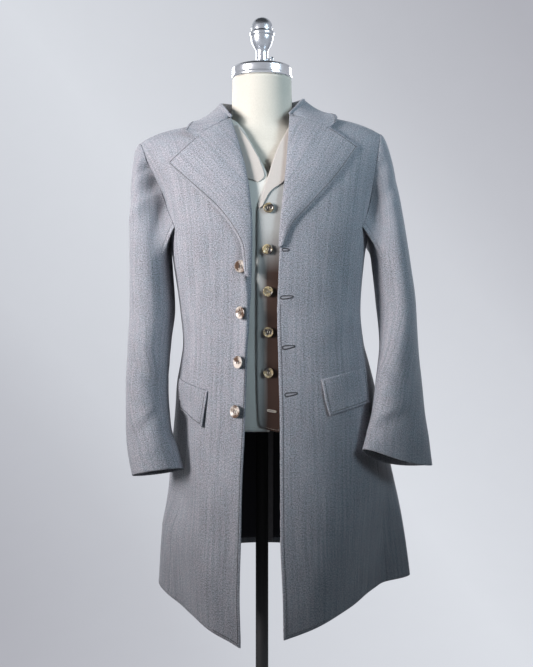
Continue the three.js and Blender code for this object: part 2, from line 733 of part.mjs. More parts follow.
function sleeveSkin(side, inset = 0) {
  const name = side < 0 ? "left" : "right";
  const rows = SLEEVE[name];
  const loop = armLoop(side);
  const last = rows[rows.length - 1];
  const oval = (angle, z) => {
    const at = (n) => read(rows, "z", n, z);
    const a = angle * DEG;
    const spin = at("spin") * DEG;
    const sideways = Math.cos(a) * (at("wide") - inset);
    const forward = Math.sin(a) * (at("deep") - inset);
    const ox = sideways * Math.cos(spin) - forward * Math.sin(spin);
    const oy = -forward * Math.cos(spin) - sideways * Math.sin(spin);
    const lift = at("slant") * Math.sin(a) + at("tip") * Math.cos(a) + at("dip") * Math.cos(2 * a);
    return new THREE.Vector3(side * (at("x") + ox), at("y") + oy, z + lift);
  };
  const crease = (p, angle) => {
    let lift = 0;
    for (const c of CREASES[name]) {
      const along = (angle - c.angle) / c.wide;
      const up = (p.z - c.z - c.tilt * (angle - c.angle)) / c.high;
      if (Math.abs(along) < 2.5 && Math.abs(up) < 2.5) lift += c.lift * Math.exp(-along * along - up * up);
    }
    const a = angle * DEG;
    p.x += side * Math.cos(a) * lift;
    p.y -= Math.sin(a) * lift;
    return p;
  };
  // s runs from the cuff (0) to the armhole (1)
  return (angle, s) => {
    const a = ((angle % 360) + 360) % 360;
    if (s <= 1 - CAP) return crease(oval(a, mix(rows[0].z, last.z, s / (1 - CAP))), a);
    const t = clamp((1 - s) / CAP, 0, 1.1);
    const from = loop(a);
    from.x += side * 2 * SEAM_GAP;
    const to = oval(a, last.z);
    const topness = 0.5 + 0.5 * Math.cos(a * DEG);
    const run = from.distanceTo(to);
    const out = mix(10, 62, topness);
    const lead = new THREE.Vector3(side * out, 0, mix(-34, -8, topness));
    const drop = oval(a, last.z).sub(oval(a, last.z - 20)).normalize().multiplyScalar(-run * 0.95);
    const t2 = t * t;
    const t3 = t2 * t;
    const p = from
      .multiplyScalar(2 * t3 - 3 * t2 + 1)
      .addScaledVector(lead, t3 - 2 * t2 + t)
      .addScaledVector(to, 3 * t2 - 2 * t3)
      .addScaledVector(drop, t3 - t2);
    return crease(p, a);
  };
}

const SLEEVE_V = [...steps(0, 1 - CAP, 10), ...steps(1 - CAP, 1, 6).slice(1)];
const FRONT_SEAM = 128;
const BACK_SEAM = 232;
for (const side of [-1, 1]) {
  const name = side < 0 ? "left" : "right";
  const skin = sleeveSkin(side);
  const gap = 0.5;
  const upper = (u, v) => skin(mix(BACK_SEAM - 360 + gap, FRONT_SEAM - gap, u), v);
  const under = (u, v) => skin(mix(FRONT_SEAM + gap, BACK_SEAM - gap, u), v);
  const flip = side > 0;
  add("jacket_upper_sleeve_" + name, wall(upper, steps(0, 1, 14), SLEEVE_V, JACKET_WALL, { flip }), WOOL, 0.9, 0);
  add("jacket_under_sleeve_" + name, wall(under, steps(0, 1, 6), SLEEVE_V, JACKET_WALL, { flip }), WOOL_DARK, 0.9, 0);
  const tube = (u, v) => skin(360 * u, v);
  const inner = moved(tube, flip, -(JACKET_WALL + 1.6));
  const cuff = (u, v) => inner(u, mix(0.015, 0.18, v));
  const ring = steps(0, 1, 24).slice(0, 24);
  add("sleeve_lining_" + name, wall(cuff, ring, steps(0, 1, 3), LINING_WALL, { flip, round: true }), LINING, 0.5, 0);
}

// Waistcoat: fronts meet the back at a side seam; the armhole opens from below the armpit.
const VEST_LOW = 0.62;
const VEST_V = [...steps(0, VEST_LOW, 8), ...steps(VEST_LOW, 1, 8).slice(1)];
const VEST_ARM = table(["rise", "x"], [
  [0, 146],
  [0.3, 138],
  [0.6, 140],
  [1, 150],
]);

function vestSideTurn(z, back) {
  const open = ease((z - 1185) / (ARMPIT_Z - 1185));
  return back ? mix(90, 118, open) : mix(90, SIDE_FRONT_TURN, open);
}

function vestSkin(side, back, out = 0) {
  const edge = side < 0 ? VEST_EDGE_LEFT : VEST_EDGE_RIGHT;
  const g = girthAt(VEST, ARMPIT_Z);
  const low = (u, z) => {
    const gap = gapTurn(150) * (back ? 1 : -1);
    const seam = vestSideTurn(z, back) + gap;
    if (back) return ringPoint(VEST, side * mix(seam, 180, u), z, out);
    const start = side * turnOf(VEST, side * read(edge, "z", "x", z), z);
    return ringPoint(VEST, side * mix(start, seam, u), z, out);
  };
  const end = (u) => side * low(u, ARMPIT_Z).x;
  return (u, v) => {
    if (v <= VEST_LOW) {
      // The overlapping right front has a rounded bottom corner.
      const corner = !back && side > 0 ? 9 * Math.pow(1 - clamp(u / 0.12, 0, 1), 2) : 0;
      return low(u, mix(VEST_HEM_Z + corner, ARMPIT_Z, v / VEST_LOW));
    }
    const share = (v - VEST_LOW) / (1 - VEST_LOW);
    const armX = (rise) => read(VEST_ARM, "rise", "x", rise);
    if (!back) {
      const top = 1474;
      const edgeX = read(edge, "z", "x", mix(ARMPIT_Z, top, Math.sin(Math.min(1, share) * 90 * DEG)));
      const part = (end(u) - end(0)) / (end(1) - end(0));
      const p = highPoint(LAYERS.vest, side * mix(edgeX, armX(share), part), share, false);
      p.y -= out * (1 - share);
      return p;
    }
    const part = end(u) / end(0);
    const topX = armX(1) * part;
    let last = 1;
    if (topX < 64) {
      const neckY = (57 - RIDGE_Y) * Math.sqrt(1 - (topX / 64) ** 2);
      last = Math.acos(clamp(Math.pow(neckY / (g.back - RIDGE_Y), 1.2), 0, 1)) / (90 * DEG);
    }
    const rise = share * last;
    return highPoint(LAYERS.vest, side * armX(rise) * part, rise, true);
  };
}

for (const side of [-1, 1]) {
  const name = side < 0 ? "left" : "right";
  const skin = vestSkin(side, false, side < 0 ? 0 : 2.8);
  const geometry = wall(skin, steps(0, 1, 9), VEST_V, VEST_WALL, { flip: side < 0, level: true });
  add("vest_front_" + name, geometry, CREAM, 0.85, 0);
}
const backLeft = vestSkin(-1, true);
const backRight = vestSkin(1, true);
const vestBack = (u, v) => (u <= 0.5 ? backRight(2 * u, v) : backLeft(2 - 2 * u, v));
add("vest_back", wall(vestBack, steps(0, 1, 14), VEST_V, VEST_WALL, { level: true }), "#3a3a42", 0.6, 0);

// Waistcoat lapels: inner and outer edges from the bottom up, signed to the wearer's side
const VEST_LAPELS = {
  left: table(["v", "inX", "inZ", "outX", "outZ"], [
    [0, -1, 1345, 6, 1340],
    [0.25, -4, 1353, 28, 1348],
    [0.5, 3, 1376, 52, 1372],
    [0.75, 21, 1412, 70, 1408],
    [1, 44, 1448, 84, 1440],
  ]),
  right: table(["v", "inX", "inZ", "outX", "outZ"], [
    [0, -5, 1293, 0, 1296],
    [0.2, 1, 1316, 14, 1322],
    [0.4, 11, 1350, 40, 1343],
    [0.7, 28, 1400, 66, 1392],
    [1, 48, 1440, 84, 1434],
  ]),
};
for (const side of [-1, 1]) {
  const name = side < 0 ? "left" : "right";
  const rows = VEST_LAPELS[name];
  const skin = (u, v) => {
    const at = (n) => read(rows, "v", n, v);
    const x = mix(at("inX"), at("outX"), u);
    const z = mix(at("inZ"), at("outZ"), u);
    return outFrom(LAYERS.vest, side, x, z, side < 0 ? 2.2 : 4.8);
  };
  add("vest_lapel_" + name, wall(skin, steps(0, 1, 4), steps(0, 1, 9), 1.5, { flip: side < 0 }), CREAM, 0.85, 0);
}

// A body of revolution from rows of radius and height, closed on its axis at both ends.
function turned(rows, sides) {
  const points = rows.map(([r, z]) => new THREE.Vector2(r, z));
  const g = new THREE.LatheGeometry(points, sides);
  g.rotateX(90 * DEG);
  return g;
}

// Buttons: a dished disc with a raised rim and a short shank, face towards +Z, cloth at zero.
const SHANK_GAP = 0.35;
function buttonShape(radius, thick, shank) {
  return turned(
    [
      [0, SHANK_GAP],
      [2.4, SHANK_GAP],
      [2.4, shank],
      [radius * 0.86, shank],
      [radius, shank + thick * 0.5],
      [radius * 0.93, shank + thick],
      [radius * 0.72, shank + thick * 0.72],
      [0, shank + thick * 0.66],
    ],
    12
  );
}

// Finds the u and v of a skin that lie at a given distance from the middle and height.
function placeOn(skin, x, z) {
  let u = 0.1;
  let v = 0.3;
  for (let k = 0; k < 30; k += 1) {
    const p = skin(u, v);
    const pu = skin(u + 0.01, v);
    const pv = skin(u, v + 0.01);
    const a = (pu.x - p.x) / 0.01;
    const b = (pv.x - p.x) / 0.01;
    const c = (pu.z - p.z) / 0.01;
    const d = (pv.z - p.z) / 0.01;
    const det = a * d - b * c;
    u = clamp(u + ((x - p.x) * d - (z - p.z) * b) / det, 0, 1);
    v = clamp(v + ((z - p.z) * a - (x - p.x) * c) / det, 0, LOW);
  }
  return [u, v];
}

// lean turns a button's face outwards on its thread shank, in degrees; stand lifts it off the curved cloth
const BUTTONS = table(["name", "x", "z", "radius", "thick", "shank", "lean", "stand"], [
  ["jacket_button_1", -36, 1192, 11, 3.2, 2.4, 0, 0.5],
  ["jacket_button_2", -32, 1113, 11, 3.2, 5.5, 10, 1.2],
  ["jacket_button_3", -36, 1028, 11, 3.2, 5.5, 12, 0.6],
  ["jacket_button_4", -41, 945, 11, 3.2, 5.5, 14, 0.5],
  ["vest_button_1", 11.5, 1294, 9, 3, 2.6, 0, 0],
  ["vest_button_2", 9.5, 1222, 9, 3, 2.6, 0, 0],
  ["vest_button_3", 10.4, 1149, 9, 3, 2.6, 0, 0],
  ["vest_button_4", 11, 1078, 9, 3, 2.6, 0, 0],
  ["vest_button_5", 11, 1007, 9, 3, 2.6, 0, 0],
]);
for (const b of BUTTONS) {
  const vest = b.name.startsWith("vest");
  const skin = vest ? vestSkin(1, false, 2.8) : frontSkin(-1);
  let centre;
  let facing;
  if (b.z > ARMPIT_Z) {
    facing = new THREE.Vector3(0, -1, 0.02).normalize();
    centre = frontPoint(LAYERS.vest, b.x, b.z).addScaledVector(facing, 2.4);
  } else {
    const [u, v] = placeOn(skin, b.x, b.z);
    facing = normalOf(skin, u, v, !vest, false);
    centre = skin(u, v).addScaledVector(facing, b.stand);
  }
  facing.applyAxisAngle(new THREE.Vector3(0, 0, 1), -b.lean * DEG);
  const geometry = buttonShape(b.radius, b.thick, b.shank);
  geometry.applyQuaternion(new THREE.Quaternion().setFromUnitVectors(new THREE.Vector3(0, 0, 1), facing));
  geometry.translate(centre.x, centre.y, centre.z);
  add(b.name, geometry, vest ? "#a58f72" : "#c9c2b6", 0.35, 0);
}

// Dress form: stacked rings from the hips to the top of the neck
const FORM = table(["z", "half", "front", "back", "square"], [
  [912, 127, -100, 94, 2.2],
  [957, 127, -99, 90, 2.2],
  [1014, 126, -97, 83, 2.2],
  [1055, 125, -96, 79, 2.2],
  [1110, 131, -98, 80, 2.2],
  [1205, 149, -109, 94, 2.3],
  [1262, 158, -116.5, 101, 2.3],
  [1310, 152, -107, 97, 2.4],
  [1355, 150, -96, 91, 2.4],
  [1390, 148, -87, 83, 2.4],
  [1415, 142, -77, 74, 2.3],
  [1433, 116, -64, 60, 2.2],
  [1445, 88, -57, 52, 2.1],
  [1456, 67, -53, 50, 2.0],
  [1474, 59, -50, 49, 2.0],
  [1505, 57, -49, 49, 2.0],
  [1548, 56, -49, 49, 2.0],
]);
function stacked(rows, sides) {
  const points = [];
  const faces = [];
  for (const r of rows) {
    for (let i = 0; i < sides; i += 1) {
      const a = (i / sides) * 2 * Math.PI;
      const s = Math.sin(a);
      const c = Math.cos(a);
      const y = c > 0 ? r.front * wave(c, 2 / r.square) : -r.back * wave(c, 2 / r.square);
      points.push(new THREE.Vector3(r.half * wave(s, 2 / r.square), y, r.z));
    }
  }
  const n = rows.length;
  for (let j = 0; j < n - 1; j += 1) {
    for (let i = 0; i < sides; i += 1) {
      const k = (i + 1) % sides;
      const a = j * sides + i;
      const b = j * sides + k;
      faces.push(a, b, b + sides, a, b + sides, a + sides);
    }
  }
  const low = points.push(new THREE.Vector3(0, 0, rows[0].z)) - 1;
  const high = points.push(new THREE.Vector3(0, 0, rows[n - 1].z)) - 1;
  for (let i = 0; i < sides; i += 1) {
    const k = (i + 1) % sides;
    faces.push(low, k, i, high, (n - 1) * sides + i, (n - 1) * sides + k);
  }
  return solid(points, faces);
}
const FORM_Z = [912, 957, 1014, 1055, 1110, 1160, 1205, 1262, 1310, 1355, 1390, 1415, 1433, 1445, 1456, 1474, 1548];
const formRows = FORM_Z.map((z) => ({
  z,
  half: read(FORM, "z", "half", z),
  front: read(FORM, "z", "front", z),
  back: read(FORM, "z", "back", z),
  square: read(FORM, "z", "square", z),
}));
add("form_torso", stacked(formRows, 28), "#d9d6c9", 0.85, 0);

// Neck cap: a shallow metal dome over the neck
const cap = turned(
  [
    [0, CAP_BOTTOM_Z],
    [CAP_HALF - 1, CAP_BOTTOM_Z],
    [CAP_HALF + 1, CAP_BOTTOM_Z + 3],
    [CAP_HALF, CAP_BOTTOM_Z + 19],
    [CAP_HALF - 5, CAP_BOTTOM_Z + 24],
    [CAP_HALF - 25, CAP_BOTTOM_Z + 28],
    [12, CAP_BOTTOM_Z + 29],
    [0, CAP_BOTTOM_Z + 29],
  ],
  30
);
cap.scale(1, 0.92, 1);
add("form_neck_cap", cap, "#c9ccd1", 0.3, 1);

const FINIAL_FOOT_Z = CAP_BOTTOM_Z + 29.4;
const finial = turned(
  [
    [0, 0],
    [13.5, 0],
    [13.5, 3],
    [11.5, 5],
    [11.5, 23],
    [12.5, 27],
    [18, 35],
    [21.5, 44],
    [22, 52],
    [24, 54],
    [24, 59],
    [21, 61],
    [20.5, 68],
    [18.5, 78],
    [12, 86],
    [0, 89],
  ],
  20
);
finial.translate(0, 0, FINIAL_FOOT_Z);
add("form_finial", finial, "#9aa0a8", 0.35, 1);

const screw = turned(
  [
    [0, 0],
    [2.6, 0],
    [2.6, 4],
    [5.5, 5],
    [5.5, 9],
    [0, 10],
  ],
  12
);
screw.rotateY(90 * DEG);
screw.translate(12, 0, FINIAL_FOOT_Z + 9);
add("form_thumb_screw", screw, "#9aa0a8", 0.35, 1);

// Pole and round base that the form stands on
const pole = turned(
  [
    [0, BASE_THICK + 0.3],
    [26, BASE_THICK + 0.3],
    [26, BASE_THICK + 8],
    [POLE_RADIUS + 4, BASE_THICK + 14],
    [POLE_RADIUS, BASE_THICK + 26],
    [POLE_RADIUS, FORM_BOTTOM_Z - 0.3],
    [0, FORM_BOTTOM_Z - 0.3],
  ],
  20
);
add("form_pole", pole, "#15161a", 0.4, 0.3);
const base = turned(
  [
    [0, 0],
    [BASE_RADIUS, 0],
    [BASE_RADIUS, BASE_THICK - 4],
    [BASE_RADIUS - 4, BASE_THICK],
    [0, BASE_THICK],
  ],
  40
);
add("form_base", base, "#15161a", 0.45, 0.3);

export default group;
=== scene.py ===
"""Long jacket suit on a limbless dress form: cloth, buttons, stitching, form and studio."""

import bpy
import math
import numpy as np
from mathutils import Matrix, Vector


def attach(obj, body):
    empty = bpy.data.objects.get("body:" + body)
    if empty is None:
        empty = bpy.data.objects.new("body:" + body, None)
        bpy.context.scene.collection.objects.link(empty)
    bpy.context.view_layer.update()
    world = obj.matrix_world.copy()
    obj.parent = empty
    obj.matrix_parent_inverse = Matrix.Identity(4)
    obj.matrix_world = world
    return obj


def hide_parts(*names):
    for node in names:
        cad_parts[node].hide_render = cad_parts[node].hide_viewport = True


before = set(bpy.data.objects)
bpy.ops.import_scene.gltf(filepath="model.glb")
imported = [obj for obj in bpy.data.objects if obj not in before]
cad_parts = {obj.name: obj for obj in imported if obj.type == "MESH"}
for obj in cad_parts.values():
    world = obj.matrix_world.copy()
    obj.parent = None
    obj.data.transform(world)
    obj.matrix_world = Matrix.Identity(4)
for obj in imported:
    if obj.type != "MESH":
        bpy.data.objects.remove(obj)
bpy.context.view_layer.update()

DEG = math.pi / 180
MM = 0.001

# Sizes in millimetres, as in the part's source.
JACKET_WALL = 1.8
VEST_WALL = 1.5
LINING_WALL = 0.8
HEM_Z = 592.0
FRONT_POINT_DROP = {-1: 31.0, 1: 16.0}
ARMPIT_Z = 1262.0
VEST_HEM_Z = 905.0
VEST_NECK_Z = 1474.0
VEST_NECK_HALF = 64.0
NECK_HALF = 72.0
NECK_BACK_Y = 60.0
RIDGE_Y = 8.0
SHOULDER_REACH = 278.0
VEST_REACH = 262.0
VENT_TOP_Z = 905.0
SIDE_FRONT = 62.0
SIDE_BACK = 118.0
# The share of a panel's rows that lies below the armpits
LOW = 0.62
CAP_BOTTOM_Z = 1548.3
FINIAL_Z = CAP_BOTTOM_Z + 29.4
# The gap left at a seam, and how far a rim stands out for each millimetre of wall
SEAM = 0.3
RIM_SHARE = 0.35
SIDES = ((-1, "left"), (1, "right"))


def ease(t):
    c = np.clip(t, 0.0, 1.0)
    return c * c * (3 - 2 * c)


def mix(a, b, t):
    return a + (b - a) * t


def steps(a, b, n):
    return np.linspace(a, b, n + 1)


def both(u, v):
    return np.broadcast_arrays(np.asarray(u, float), np.asarray(v, float))


def pick(test, a, b):
    """Points of a where the test holds, and of b elsewhere."""
    return np.where(test[..., None], a, b)


class Table:
    """Rows with named columns, read on smooth curves that never overshoot."""

    def __init__(self, names, rows):
        a = np.array(rows, float)
        self.by = a[:, 0]
        self.col = {n: a[:, i] for i, n in enumerate(names)}

    def read(self, name, at):
        x, y = self.by, self.col[name]
        n = len(x)
        s = (y[1:] - y[:-1]) / (x[1:] - x[:-1])
        m = np.empty(n)
        m[0], m[-1] = s[0], s[-1]
        prod = s[:-1] * s[1:]
        tot = s[:-1] + s[1:]
        safe = np.where(np.abs(tot) < 1e-12, 1.0, tot)
        m[1:-1] = np.where(prod <= 0, 0.0, 2 * s[:-1] * s[1:] / safe)
        at = np.clip(np.asarray(at, float), x[0], x[-1])
        k = np.clip(np.searchsorted(x, at) - 1, 0, n - 2)
        h = x[k + 1] - x[k]
        t = (at - x[k]) / h
        t2, t3 = t * t, t * t * t
        return (
            (2 * t3 - 3 * t2 + 1) * y[k]
            + (t3 - 2 * t2 + t) * h * m[k]
            + (3 * t2 - 2 * t3) * y[k + 1]
            + (t3 - t2) * h * m[k + 1]
        )


GIRTH = ["z", "left", "right", "front", "back", "wide", "sqLeft", "sqRight", "sqBack"]
JACKET = Table(GIRTH, [
    [560, 199, 290, -207, 212, 45, 1.7, 1.32, 2.0],
    [615, 195, 284, -202, 202, 43, 1.72, 1.36, 2.0],
    [710, 189, 270, -190, 184, 36, 1.8, 1.5, 2.0],
    [786, 183, 254, -178, 166, 28, 1.9, 1.7, 2.0],
    [880, 174, 233, -160, 143, 18, 2.0, 1.9, 2.1],
    [957, 165, 217, -147, 123, 10, 2.1, 2.0, 2.1],
    [1014, 154, 202, -138, 108, 4, 2.2, 2.1, 2.2],
    [1050, 149, 192, -134, 102, 0, 2.2, 2.2, 2.2],
    [1110, 154, 186, -131, 103, 0, 2.3, 2.3, 2.3],
    [1205, 168, 193, -133, 113, 0, 2.3, 2.3, 2.3],
    [1262, 176, 203, -133, 118, 0, 2.3, 2.3, 2.3],
])
VEST = Table(GIRTH, [
    [890, 143, 150, -124, 112, 0, 2.2, 2.2, 2.2],
    [957, 142, 148, -120, 104, 0, 2.2, 2.2, 2.2],
    [1014, 138, 142, -115, 95, 0, 2.2, 2.2, 2.2],
    [1055, 136, 139, -112, 90, 0, 2.2, 2.2, 2.2],
    [1110, 143, 143, -114, 91, 0, 2.2, 2.2, 2.2],
    [1205, 156, 156, -120, 100, 0, 2.3, 2.3, 2.3],
    [1262, 163, 163, -121, 106, 0, 2.3, 2.3, 2.3],
])
SHOULDER_LEFT = Table(["x", "z"], [
    [0, 1482], [72, 1479], [107, 1467], [147, 1456], [177, 1450], [219, 1434], [236, 1421],
])
SHOULDER_RIGHT = Table(["x", "z"], [
    [0, 1488], [72, 1485], [107, 1478], [147, 1471], [177, 1464], [204, 1454], [227, 1442],
])
VEST_SHOULDER = Table(["x", "z"], [
    [0, 1477], [66, 1475.5], [72, 1475], [107, 1464.3], [147, 1453.3], [160, 1450.4],
])
ARMHOLE = {
    -1: Table(["rise", "front", "back"], [
        [0, 157, 157], [0.12, 175, 172], [0.23, 185, 184], [0.37, 200, 196], [0.52, 213, 206],
        [1, 234, 234],
    ]),
    1: Table(["rise", "front", "back"], [
        [0, 181, 181], [0.1, 194, 190], [0.19, 200, 195], [0.37, 207, 201], [0.56, 214, 208], [1, 225, 225],
    ]),
}
EDGE = {
    -1: Table(["z", "x"], [
        [577, 36], [640, 38], [745, 35], [830, 33], [915, 29], [1020, 25.5], [1048, 25], [1082, 22.4],
        [1113, 21.2], [1151, 18.3], [1195, 18], [1243, 17.5], [1280, 20], [1350, 28], [1395, 37],
        [1430, 47],
        [1459, 59], [1479, 72],
    ]),
    1: Table(["z", "x"], [
        [577, 36], [640, 35], [745, 31], [915, 31], [1020, 29], [1110, 27], [1176, 29],
        [1238, 32], [1330, 39], [1403, 46], [1459, 52], [1485, 72],
    ]),
}
VEST_EDGE = {
    -1: Table(["z", "x"], [
        [905, -13], [1300, -13], [1330, -12], [1352, -9], [1374, 1], [1412, 20], [1450, 42], [1474, 66],
    ]),
    1: Table(["z", "x"], [
        [905, -1], [925, -6], [1010, -9], [1290, -8], [1316, -1], [1350, 11], [1402, 28], [1449, 53],
        [1474, 66],
    ]),
}
# The left front edge rolls forward: the crest's distance from the edge, its height and its reach
ROLL = Table(["z", "crest", "height", "reach"], [
    [560, 2, 0, 14], [700, 2, 3, 14], [860, 2.5, 6, 14], [962, 3, 9, 14], [1048, 4.5, 12, 13],
    [1110, 5.5, 13, 12],
    [1140, 8, 12, 12], [1165, 10.5, 8, 12], [1185, 11.5, 3, 12], [1205, 12, 0, 12],
])


def roll_lift(away, z):
    """How far the rolled edge stands forward, at a distance from the edge."""
    past = away - ROLL.read("crest", z)
    outside = 1.5 * np.log1p(np.exp(np.clip(past / 1.5, -30, 30)))
    inside = np.maximum(0, outside - past)
    rise = ROLL.read("height", z) * np.exp(-outside / ROLL.read("reach", z))
    return rise - 1.1 * inside * ease((1235 - z) / 60)


# Folds: turn, lean, top, bottom, fade, width in degrees, lift in mm
FOLDS = [
    [-34, 4, 900, 500, 220, 9, 5],
    [-20, 2, 840, 500, 200, 7, -5],
    [-52, 0, 800, 500, 220, 9, -5],
    [-76, 0, 860, 500, 220, 10, 6],
    [30, -3, 880, 500, 240, 9, 5],
    [60, 0, 880, 500, 300, 16, -27],
    [69, 0, 880, 500, 300, 6, -8],
    [83, 0, 880, 500, 300, 7, 9],
    [95, 0, 860, 500, 240, 9, -6],
    [118, 0, 900, 500, 240, 11, 7],
    [146, 0, 840, 500, 240, 11, -6],
    [-118, 0, 900, 500, 240, 11, 7],
    [-100, 0, 840, 500, 240, 9, -6],
    [-146, 0, 840, 500, 240, 11, -6],
    [-64, 0, 990, 730, 90, 20, -19],
    [50, 0, 960, 780, 80, 22, -5],
]
# Small dents that only the cloth itself shows: turn, height, width, height of dent, slant, lift
DENTS = [
    [-28, 745, 6, 34, 0.10, -3.0],
    [-22, 800, 5, 60, 0.05, 2.0],
    [-44, 1010, 10, 26, 0.25, -1.8],
    [-30, 1060, 12, 20, 0.3, 1.2],
    [34, 985, 9, 16, -0.35, 2.2],
    [28, 960, 9, 14, -0.35, -2.2],
    [48, 1055, 12, 16, 0.3, -2.0],
    [42, 1095, 12, 18, 0.25, 1.4],
    [60, 1140, 10, 20, 0.4, -1.6],
    [-48, 1185, 9, 36, -0.2, -2.2],
    [-40, 1205, 7, 40, -0.2, 1.6],
    [50, 1190, 8, 36, 0.2, -2.0],
    [120, 1080, 16, 16, 0.3, -2.2],
    [-120, 1080, 16, 16, -0.3, -2.2],
    [150, 1050, 16, 14, 0.2, 2.0],
    [-150, 1045, 16, 14, -0.2, 2.0],
    [165, 1120, 14, 20, 0.3, -1.6],
    [-165, 1130, 14, 20, -0.3, -1.6],
]


def fold_lift(turn, z):
    lift = np.zeros(np.broadcast(turn, z).shape)
    for t0, lean, top, bottom, fade, wide, up in FOLDS:
        middle = t0 + lean * ((top - z) / (top - bottom))
        away = (turn - middle) / wide
        down = ease((top - z) / fade) * ease((z - bottom) / min(90, fade) + 0.4)
        lift = lift + up * down * np.exp(-away * away) * (z <= top)
    return lift


def dent_lift(turn, z):
    lift = np.zeros(np.broadcast(turn, z).shape)
    for t0, z0, wide, high, slant, up in DENTS:
        a = (turn - t0) / wide
        b = (z - z0 - slant * (turn - t0) * 2.6) / high
        lift = lift + up * np.exp(-a * a - b * b)
    return lift


def wave(base, power):
    return np.sign(base) * np.abs(base) ** power


def girth(rows, z):
    return {n: rows.read(n, z) for n in GIRTH[1:]}


def ring_point(rows, turn, z, out=0.0, fine=True):
    """A point on the body of the garment, turned in degrees from the front and some mm further out."""
    turn, z = both(turn, z)
    g = girth(rows, z)
    s, c = np.sin(turn * DEG), np.cos(turn * DEG)
    half = np.where(s < 0, g["left"], g["right"])
    square = np.where(c > 0, np.where(s < 0, g["sqLeft"], g["sqRight"]), g["sqBack"])
    deep = np.where(c > 0, g["wide"] - g["front"], g["back"] - g["wide"])
    x = half * wave(s, 2 / square)
    y = g["wide"] - deep * wave(c, 2 / square)
    lift = np.asarray(out, float) + np.zeros(turn.shape)
    if rows is JACKET:
        lift = lift + fold_lift(turn, z)
        if fine:
            lift = lift + dent_lift(turn, z)
    return np.stack([x + s * lift, y - c * lift, z], -1)


def turn_of(rows, x, z):
    """The turn at which the front of the garment reaches x."""
    g = girth(rows, z)
    half = np.where(np.asarray(x) < 0, g["left"], g["right"])
    square = np.where(np.asarray(x) < 0, g["sqLeft"], g["sqRight"])
    return np.arcsin(np.clip((np.abs(x) / half) ** (square / 2), 0, 1)) / DEG * np.sign(x)


def jacket_shoulder(x):
    return np.where(x < 0, SHOULDER_LEFT.read("z", -x), SHOULDER_RIGHT.read("z", x))


def vest_shoulder(x):
    return VEST_SHOULDER.read("z", np.abs(x))


LAYER = {"jacket": (JACKET, jacket_shoulder, SHOULDER_REACH), "vest": (VEST, vest_shoulder, VEST_REACH)}


def high_point(layer, x, rise, back):
    """A point above the armpits. The rise runs from 0 there to 1 on the shoulder."""
    rows, shoulder, reach = LAYER[layer]
    x, rise = both(x, rise)
    g = girth(rows, np.full(x.shape, ARMPIT_Z))
    half = mix(np.where(x < 0, g["left"], g["right"]), reach, ease(rise))
    square = g["sqBack"]
    flat = np.maximum(0, 1 - (np.abs(x) / half) ** square) ** (1 / square)
    chest = g["wide"] + ((g["back"] - g["wide"]) if back else (g["front"] - g["wide"])) * flat
    arc = np.clip(rise, 0, 1) * 90 * DEG
    near = RIDGE_Y + (0.2 if back else -0.2)
    y = near + (chest - near) * np.maximum(0, np.cos(arc)) ** (2 / 2.4)
    z = ARMPIT_Z + (shoulder(x) - ARMPIT_Z) * np.sin(arc)
    return np.stack([x, y, z], -1)


def rise_of(layer, x, z):
    top = LAYER[layer][1](np.asarray(x, float))
    return np.arcsin(np.clip((z - ARMPIT_Z) / (top - ARMPIT_Z), 0, 1)) / (90 * DEG)


def front_point(layer, x, z):
    x, z = both(x, z)
    rows = LAYER[layer][0]
    below = np.minimum(z, ARMPIT_Z)
    low = ring_point(rows, turn_of(rows, x, below), below, 0, False)
    high = high_point(layer, x, rise_of(layer, x, np.maximum(z, ARMPIT_Z)), False)
    return pick(z > ARMPIT_Z, high, low)


def unit(v):
    return v / np.maximum(np.linalg.norm(v, axis=-1, keepdims=True), 1e-9)


def normals(skin, u, v, flip, level=False):
    e = 0.003
    across = skin(u + e, v) - skin(u - e, v)
    up = skin(u, np.minimum(1, v + e)) - skin(u, v - e)
    n = np.cross(across, up)
    if flip:
        n = -n
    n = unit(n)
    if level:
        flatten = (v > 0.9999)[..., None] * np.array([0, 1, 0])
        n = unit(n * (1 - flatten))
    return n


def moved(skin, flip, distance):
    """The same skin, some mm further along its normals."""
    return lambda u, v: skin(u, v) + normals(skin, u, v, flip) * distance


# Meshes
def new_object(name, verts, faces, material):
    mesh = bpy.data.meshes.new(name)
    mesh.from_pydata([tuple(p) for p in verts], [], [tuple(f) for f in faces])
    mesh.update()
    mesh.polygons.foreach_set("use_smooth", [True] * len(mesh.polygons))
    mesh.materials.append(material)
    obj = bpy.data.objects.new(name, mesh)
    bpy.context.scene.collection.objects.link(obj)
    return obj


def unwrap(obj, uv):
    """Gives each vertex its place on the flat cloth, in metres."""
    layer = obj.data.uv_layers.new(name="UVMap")
    loops = np.empty(len(obj.data.loops), np.int32)
    obj.data.loops.foreach_get("vertex_index", loops)
    layer.data.foreach_set("uv", uv[loops].ravel())


def circle(sides):
    return np.arange(sides) / sides * 2 * math.pi


def ring_faces(rings, sides, first=0):
    """Faces of a tube whose points run ring by ring."""
    faces = []
    for a in range(first, first + (rings - 1) * sides, sides):
        for i in range(sides):
            k = (i + 1) % sides
            faces.append((a + i, a + k, a + sides + k, a + sides + i))
    return faces


def sheet_area(points):
    a, b, c, d = points[:-1, :-1], points[:-1, 1:], points[1:, 1:], points[1:, :-1]
    double = np.linalg.norm(np.cross(b - a, c - a), axis=2) + np.linalg.norm(np.cross(c - a, d - a), axis=2)
    return float(double.sum()) / 2 * MM * MM


